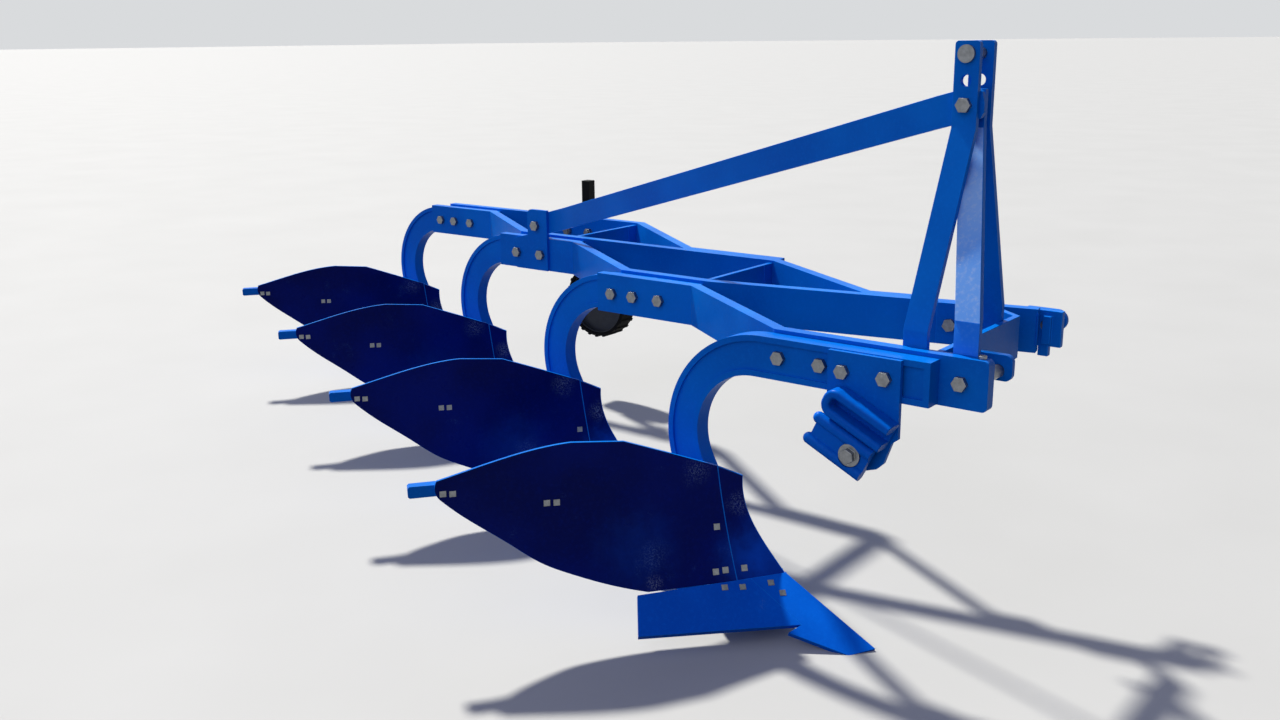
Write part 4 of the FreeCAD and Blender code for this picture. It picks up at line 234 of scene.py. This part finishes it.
SLOT_MATERIALS = {"frame_blue": FRAME_BLUE, "board_blue": SHADED_BOARD_BLUES[0],
                  "share_blue": SHARE_BLUE, "zinc_steel": ZINC, "black_paint": BLACK,
                  "rim_grey": CASTING, "tyre": RUBBER}


def clad(obj, material):
    """Gives an object this one material."""
    obj.data.materials.clear()
    obj.data.materials.append(material)


for node_name, node in NODES.items():
    clad(node, SLOT_MATERIALS[SLOTS[node_name]])

# Pieces

# In degrees: faces that turn by more than SHARP_TURN meet in a hard edge of the solid, shading
# stays smooth up to SMOOTH_TURN once those are rolled over, and faces are joined as one flat
# below FLAT_TURN.
SHARP_TURN, SMOOTH_TURN, FLAT_TURN = 28.0, 38.0, 0.5
# Corners of a node's mesh that are nearer than this, in metres, are one corner.
SAME_CORNER = 0.00001
# A wall of a square bolt hole is smaller than this, in square metres, and a plate's rim larger.
BOLT_HOLE_WALL = 0.0003


def piece(name, mesh, body, materials):
    """Adds a finished mesh as a piece of the plough."""
    obj = bpy.data.objects.new(name, mesh)
    SCENE.collection.objects.link(obj)
    for material in materials:
        mesh.materials.append(material)
    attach(obj, body)
    return obj


def finished(work, name):
    """Makes a smooth-shaded mesh of the worked one and frees it."""
    mesh = bpy.data.meshes.new(name)
    work.to_mesh(mesh)
    work.free()
    for face in mesh.polygons:
        face.use_smooth = True
    return mesh


def cad_shell(node_name):
    """A copy of a CAD node's mesh, welded into one skin with flat faces joined."""
    work = bmesh.new()
    work.from_mesh(NODES[node_name].data)
    bmesh.ops.remove_doubles(work, verts=work.verts, dist=SAME_CORNER)
    bmesh.ops.dissolve_limit(work, angle_limit=math.radians(FLAT_TURN), verts=work.verts,
                             edges=work.edges)
    work.normal_update()
    return work


def sharp_edges(work):
    """The edges that are hard in the solid."""
    return [edge for edge in work.edges if len(edge.link_faces) == 2
            and edge.calc_face_angle(0.0) > math.radians(SHARP_TURN)]


def rolled(work, edges, width_mm, segments, paint=1):
    """Rolls edges over; the new faces take the paint at that place in the piece's list."""
    made = bmesh.ops.bevel(work, geom=edges, offset=width_mm / 1000, offset_type="OFFSET",
                           segments=segments, profile=0.5, affect="EDGES", clamp_overlap=True,
                           material=-1)
    for face in made["faces"]:
        face.material_index = paint


def area(faces):
    return sum(face.calc_area() for face in faces)


def islands(work):
    """Groups of faces that sharp edges part from each other, the largest first."""
    fences = set(sharp_edges(work))
    left, groups = set(work.faces), []
    while left:
        group, reached = [], [left.pop()]
        while reached:
            face = reached.pop()
            group.append(face)
            for edge in face.edges:
                for other in edge.link_faces:
                    if other in left and edge not in fences:
                        left.discard(other)
                        reached.append(other)
        groups.append(group)
    return sorted(groups, key=area, reverse=True)


def rim_edges(work, groups):
    """A plate's outer edges, without those of its square bolt holes."""
    holes = {face for group in groups if area(group) < BOLT_HOLE_WALL for face in group}
    return [edge for edge in sharp_edges(work) if not holes.intersection(edge.link_faces)]


def dressed(node_name, work, materials):
    """Puts a finished mesh in a CAD node's place, with crisp flats between its rolled edges."""
    mesh = finished(work, node_name + "_shape")
    mesh.set_sharp_from_angle(angle=math.radians(SMOOTH_TURN))
    obj = piece(node_name + "_dressed", mesh, BODIES[node_name], materials)
    flats = obj.modifiers.new("flats", "WEIGHTED_NORMAL")
    flats.keep_sharp = True
    flats.weight = 60
    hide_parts(node_name)
    return obj


# The first beam's front end, the mast bars' top, and how near to them in metres a corner's edge
# lies. Such an edge runs across the plough for nearly all of its length.
BEAM_END = at(228, 38, 669)
MAST_END = at(63, 205, 1363)
WITHIN = 0.001
NEARLY_ALL = 0.98


def across(edge):
    """Whether an edge runs straight across the plough."""
    start, end = (vert.co for vert in edge.verts)
    run = end - start
    return abs(run.y) > NEARLY_ALL * run.length


def at_beam_end(edge):
    """The upper and the lower corner of the first beam's front end."""
    return across(edge) and all(vert.co.x > BEAM_END.x - WITHIN for vert in edge.verts)


def at_mast_end(edge):
    """The two corners at a mast bar's top."""
    return across(edge) and all(vert.co.z > MAST_END.z - WITHIN for vert in edge.verts)


# Corners that are ground round before the edges are rolled: which, and their radius in mm.
CORNERS = {"beam_1": (at_beam_end, 11.0), "mast_bar_right": (at_mast_end, 8.0),
           "mast_bar_left": (at_mast_end, 8.0)}
# The face's paint and the edges', where they aren't the slot's own and the painted edge
# highlight.
PAINTS = {"clamp_saddle": (CAST_BLUE, CAST_BLUE), "clamp_jaw": (CAST_BLUE, CAST_BLUE)}


def softened(node_name, width_mm):
    """The CAD solid with its hard edges rolled over, as bent and cast steel has them."""
    work = cad_shell(node_name)
    if node_name in CORNERS:
        chosen, radius_mm = CORNERS[node_name]
        corners = [edge for edge in sharp_edges(work) if chosen(edge)]
        rolled(work, corners, radius_mm, segments=5, paint=0)
        work.normal_update()
    rolled(work, sharp_edges(work), width_mm, segments=2)
    own = SLOT_MATERIALS[SLOTS[node_name]]
    # Blue enamel's rolled edges take the painted edge highlight.
    edge = EDGE_HIGHLIGHT_BLUE if own in (FRAME_BLUE, SHARE_BLUE) else own
    return dressed(node_name, work, PAINTS.get(node_name, (own, edge)))


def share_plate(node_name, width_mm):
    """A share or point, with a painted highlight along its ground edges."""
    work = cad_shell(node_name)
    rolled(work, rim_edges(work, islands(work)), width_mm, segments=2)
    return dressed(node_name, work, (SHARE_BLUE, EDGE_HIGHLIGHT_BLUE))


def board_plate(node_name, number, width_mm):
    """A mouldboard or shin: its working face carries the painted shade, its rolled rim a painted
    highlight, and its back and side walls the frame's blue.
    """
    work = cad_shell(node_name)
    groups = islands(work)
    front = min(groups[:2], key=lambda group: sum(f.normal.y * f.calc_area() for f in group))
    # The working face takes the painted shade; the other faces keep the frame's blue.
    for group in groups:
        for face in group:
            face.material_index = 0 if group is front else 1
    rolled(work, rim_edges(work, groups), width_mm, segments=3, paint=2)
    return dressed(node_name, work, (SHADED_BOARD_BLUES[number], FRAME_BLUE, EDGE_HIGHLIGHT_BLUE))


# How wide the edges are rolled over in mm, as each piece's making gives it: forged legs and
# rolled beams 4, castings and the boards' and shares' rims 2 to 3, other plate 1 to 2, frame
# bolts 2, small bolts and turned pins about 1.
BOARD_EDGE, SHARE_EDGE = 2.8, 2.2
ROLLS = {"leg": 4.0, "frog": 2.5, "landside": 1.2, "beam": 4.0, "rear_stiffener": 4.0,
         "frame_struts": 1.5, "cross_plate": 2.0, "mast_bar": 2.0, "stay_bar": 1.8,
         "stay_bracket": 1.4, "hitch_ear": 1.6, "left_hitch_bracket": 1.8, "skim_bracket": 1.4,
         "clamp_saddle": 2.2, "clamp_jaw": 2.2, "wheel_stem": 1.5, "stem_clamp": 1.5,
         "wheel_rim": 1.2, "tyre": 1.4, "tail_pieces": 1.2, "board_braces": 1.2,
         "frame_bolts": 2.0, "plough_bolts": 0.6, "top_link_pin": 1.6, "lower_hitch_pins": 1.4,
         "keeper_peg": 0.8, "clamp_bolt": 1.4, "axle_cap": 1.0, "clamp_screw": 0.8,
         "mast_spacers": 0.8}


def dress_solids():
    """Dresses every CAD node as its own making asks."""
    for node_name in sorted(NODES):
        if node_name.startswith(("mouldboard", "shin")):
            board_plate(node_name, int(node_name[-1]) - 1, BOARD_EDGE)
        elif node_name.startswith(("share", "point")):
            share_plate(node_name, SHARE_EDGE)
        else:
            for start, width_mm in ROLLS.items():
                if node_name.startswith(start):
                    softened(node_name, width_mm)
                    break


# In metres: the undersides of the mast's spacers and the middle bar's lower bend.
UNDER_SPACERS, LOWER_BEND = 1.19, 0.85
# A face's normal has a smaller y than this where the face looks to the right.
TO_THE_RIGHT = -0.8


def paint_sky_reflection_on_mast_bar():
    """The middle bar leans to the sky on its right face, and there a painted sky reflection is
    put on below the spacers, fading below its lower bend."""
    mesh = bpy.data.objects["mast_bar_middle_dressed"].data
    sky_reflection_slot, fading_reflection_slot = len(mesh.materials), len(mesh.materials) + 1
    for material in (SHEEN_BLUE, FADING_REFLECTION_BLUE):
        mesh.materials.append(material)
    for face in mesh.polygons:
        if face.normal.y < TO_THE_RIGHT and face.center.z < UNDER_SPACERS:
            face.material_index = sky_reflection_slot if face.center.z > LOWER_BEND else fading_reflection_slot


# A weld run's ripples: their pitch, the run's width between two of them against its full
# width, its width at its very ends, and how fast it swells from there.
RIPPLE_MM, BETWEEN, AT_ENDS, SWELLING = 5.0, 0.78, 0.45, 1.4


def bead(name, start, end, width_mm=8.0):
    """A weld run in the corner between two plates: overlapping ripples with rounded ends."""
    length = (end - start).length
    radius = width_mm / 2000
    ripples = max(2, int(length * 1000 / RIPPLE_MM))
    work = bmesh.new()
    bmesh.ops.create_cone(work, cap_ends=True, segments=8, radius1=radius, radius2=radius,
                          depth=length)
    sides = [edge for edge in work.edges
             if abs(edge.verts[0].co.z - edge.verts[1].co.z) > length / 2]
    bmesh.ops.subdivide_edges(work, edges=sides, cuts=4 * ripples - 1, use_grid_fill=True)
    for vert in work.verts:
        along = (vert.co.z / length + 0.5) * ripples
        swell = BETWEEN + (1 - BETWEEN) * abs(math.sin(math.pi * along))
        taper = min(1.0, AT_ENDS + SWELLING * min(along, ripples - along))
        vert.co.x *= swell * taper
        vert.co.y *= swell * taper
    turn = (end - start).to_track_quat("Z", "Y").to_matrix().to_4x4()
    place = Matrix.Translation((start + end) / 2) @ turn
    bmesh.ops.transform(work, verts=work.verts, matrix=place)
    return piece(name, finished(work, name), "plough", [CAST_BLUE])


def upright_bead(name, x, y, low, high, width_mm=8.0):
    """A weld run that goes straight up; its place is in part.py's measure."""
    return bead("weld_" + name, at(x, y, low), at(x, y, high), width_mm)


STRUT_THICK_MM = 15


def weld_frame():
    """The weld runs where one bar or plate of the frame ends on another."""
    upright_bead("cross_plate_rear", 98, 53, 622, 722)
    upright_bead("cross_plate_front", 113, 53, 622, 722)
    upright_bead("hitch_ear_right", 113, 128, 660, 714, 7.0)
    upright_bead("hitch_ear_left", 113, 144, 660, 714, 7.0)
    upright_bead("mast_foot_right", 97, 400, 642, 722, 7.0)
    upright_bead("mast_foot_left", 97, 415, 642, 722, 7.0)
    upright_bead("beam_3_tip", -203.1, 538.8, 616, 722)
    upright_bead("beam_3_toe", -325.8, 514.8, 616, 722)
    upright_bead("left_hitch_front", 122, 572, 632, 714, 7.0)
    for x, strut, right, left in ((-787, "front", 433, 737), (-1608, "rear", 813, 1117)):
        for shift, side in ((0, "rear"), (STRUT_THICK_MM, "front")):
            for y, end in ((right, "right"), (left, "left")):
                upright_bead(f"strut_{strut}_{side}_{end}", x + shift, y, 623, 715, 6.0)


# Camera, light and floor

# The photo's focal length and width in its own pixels, and the sensor that they are put on.
FOCAL_PIXELS, WIDTH_PIXELS, SENSOR_MM = 1230.0, 1280.0, 36.0
# In metres: how far the camera sees, and how far the floor reaches each way, which puts its
# edge at the horizon.
SIGHT, FLOOR_REACH = 1000.0, 400
FLOOR_CLOUD_MM = 700


def camera():
    """The photo's own view, solved from the four bodies' places in it."""
    place = at(1174, -2334, 1374)
    yaw, pitch, roll = (math.radians(turn) for turn in (38.26, 14.65, -0.60))
    look = Vector((-math.sin(yaw) * math.cos(pitch), math.cos(yaw) * math.cos(pitch),
                   -math.sin(pitch)))
    right = Vector((math.cos(yaw), math.sin(yaw), 0.0))
    up = right.cross(look)
    rightward = right * math.cos(roll) + up * math.sin(roll)
    upward = up * math.cos(roll) - right * math.sin(roll)
    data = bpy.data.cameras.new("camera")
    data.sensor_width = SENSOR_MM
    data.lens = FOCAL_PIXELS / WIDTH_PIXELS * SENSOR_MM
    data.clip_end = SIGHT
    obj = bpy.data.objects.new("camera", data)
    SCENE.collection.objects.link(obj)
    turn = Matrix((rightward, upward, -look)).transposed()
    obj.matrix_world = Matrix.Translation(place) @ turn.to_4x4()
    SCENE.camera = obj


def lamp(name, strength, place, spread, colour):
    """A sun that shines from a place to the plough's middle, spread over some degrees of sky."""
    data = bpy.data.lights.new(name, "SUN")
    data.energy = strength
    data.color = colour
    data.angle = math.radians(spread)
    obj = bpy.data.objects.new(name, data)
    SCENE.collection.objects.link(obj)
    obj.location = place
    obj.rotation_euler = (-Vector(place)).to_track_quat("-Z", "Y").to_euler()


def backdrop_seen(tree):
    """One where a ray meets the backdrop by eye, in gloss or through glass."""
    paths = add(tree, "LightPath")
    direct = add(tree, "Math", {0: paths["Is Camera Ray"], 1: paths["Is Glossy Ray"]},
                 operation="MAXIMUM")[0]
    return add(tree, "Math", {0: direct, 1: paths["Is Transmission Ray"]},
               operation="MAXIMUM")[0]


def floor():
    """A pale studio floor. It is darker to the light that it throws back up, as the plough's own
    ground is."""
    work = bmesh.new()
    bmesh.ops.create_grid(work, x_segments=2, y_segments=2, size=FLOOR_REACH)
    mesh = bpy.data.meshes.new("floor")
    work.to_mesh(mesh)
    work.free()
    obj = bpy.data.objects.new("floor", mesh)
    SCENE.collection.objects.link(obj)
    material, tree, where = bare("matt_pale_studio_floor")
    cloud = add(tree, "TexNoise", {"Vector": where, "Scale": 1000 / FLOOR_CLOUD_MM,
                                   "Detail": 3.0})["Fac"]
    pale = add(tree, "Mix", {FACTOR: cloud, UNDER: linear("#B8B8B2"), OVER: linear("#C1C1BB")},
               data_type="RGBA")[MIXED]
    colour = add(tree, "Mix", {FACTOR: backdrop_seen(tree), UNDER: linear("#5C5E60"),
                               OVER: pale}, data_type="RGBA")[MIXED]
    skin = add(tree, "BsdfPrincipled", {"Base Color": colour, "Roughness": 0.75})
    add(tree, "OutputMaterial", {"Surface": skin[0]})
    clad(obj, material)


# The room's light on the plough, and how much stronger or weaker it is straight from the rear or
# the front.
ROOM_LIGHT, ROOM_SLANT = 0.34, 0.27


def world():
    """Soft bluish room light, stronger from the rear; the wall behind the plough is pale."""
    space = bpy.data.worlds.new("studio")
    SCENE.world = space
    space.use_nodes = True
    tree = space.node_tree
    tree.nodes.clear()
    heading = add(tree, "SeparateXYZ", {"Vector": add(tree, "TexCoord")["Generated"]})
    strength = add(tree, "Math", {0: heading["X"], 1: -ROOM_SLANT, 2: ROOM_LIGHT},
                   operation="MULTIPLY_ADD")[0]
    room = add(tree, "Background", {"Color": linear("#B8C2F6"), "Strength": strength})
    wall = add(tree, "Background", {"Color": linear("#D9DBDD"), "Strength": 1.0})
    either = add(tree, "MixShader", {0: backdrop_seen(tree), 1: room[0], 2: wall[0]})
    add(tree, "OutputWorld", {"Surface": either[0]})


camera()
world()
floor()
lamp("key", strength=4.7, place=(-3.0, 1.2, 4.2), spread=4.0, colour=(1.0, 0.975, 0.93))
lamp("fill", strength=0.58, place=(0.4, -4.0, 2.8), spread=50.0, colour=(0.72, 0.74, 1.0))
dress_solids()
paint_sky_reflection_on_mast_bar()
weld_frame()

SCENE.view_settings.view_transform = "Standard"
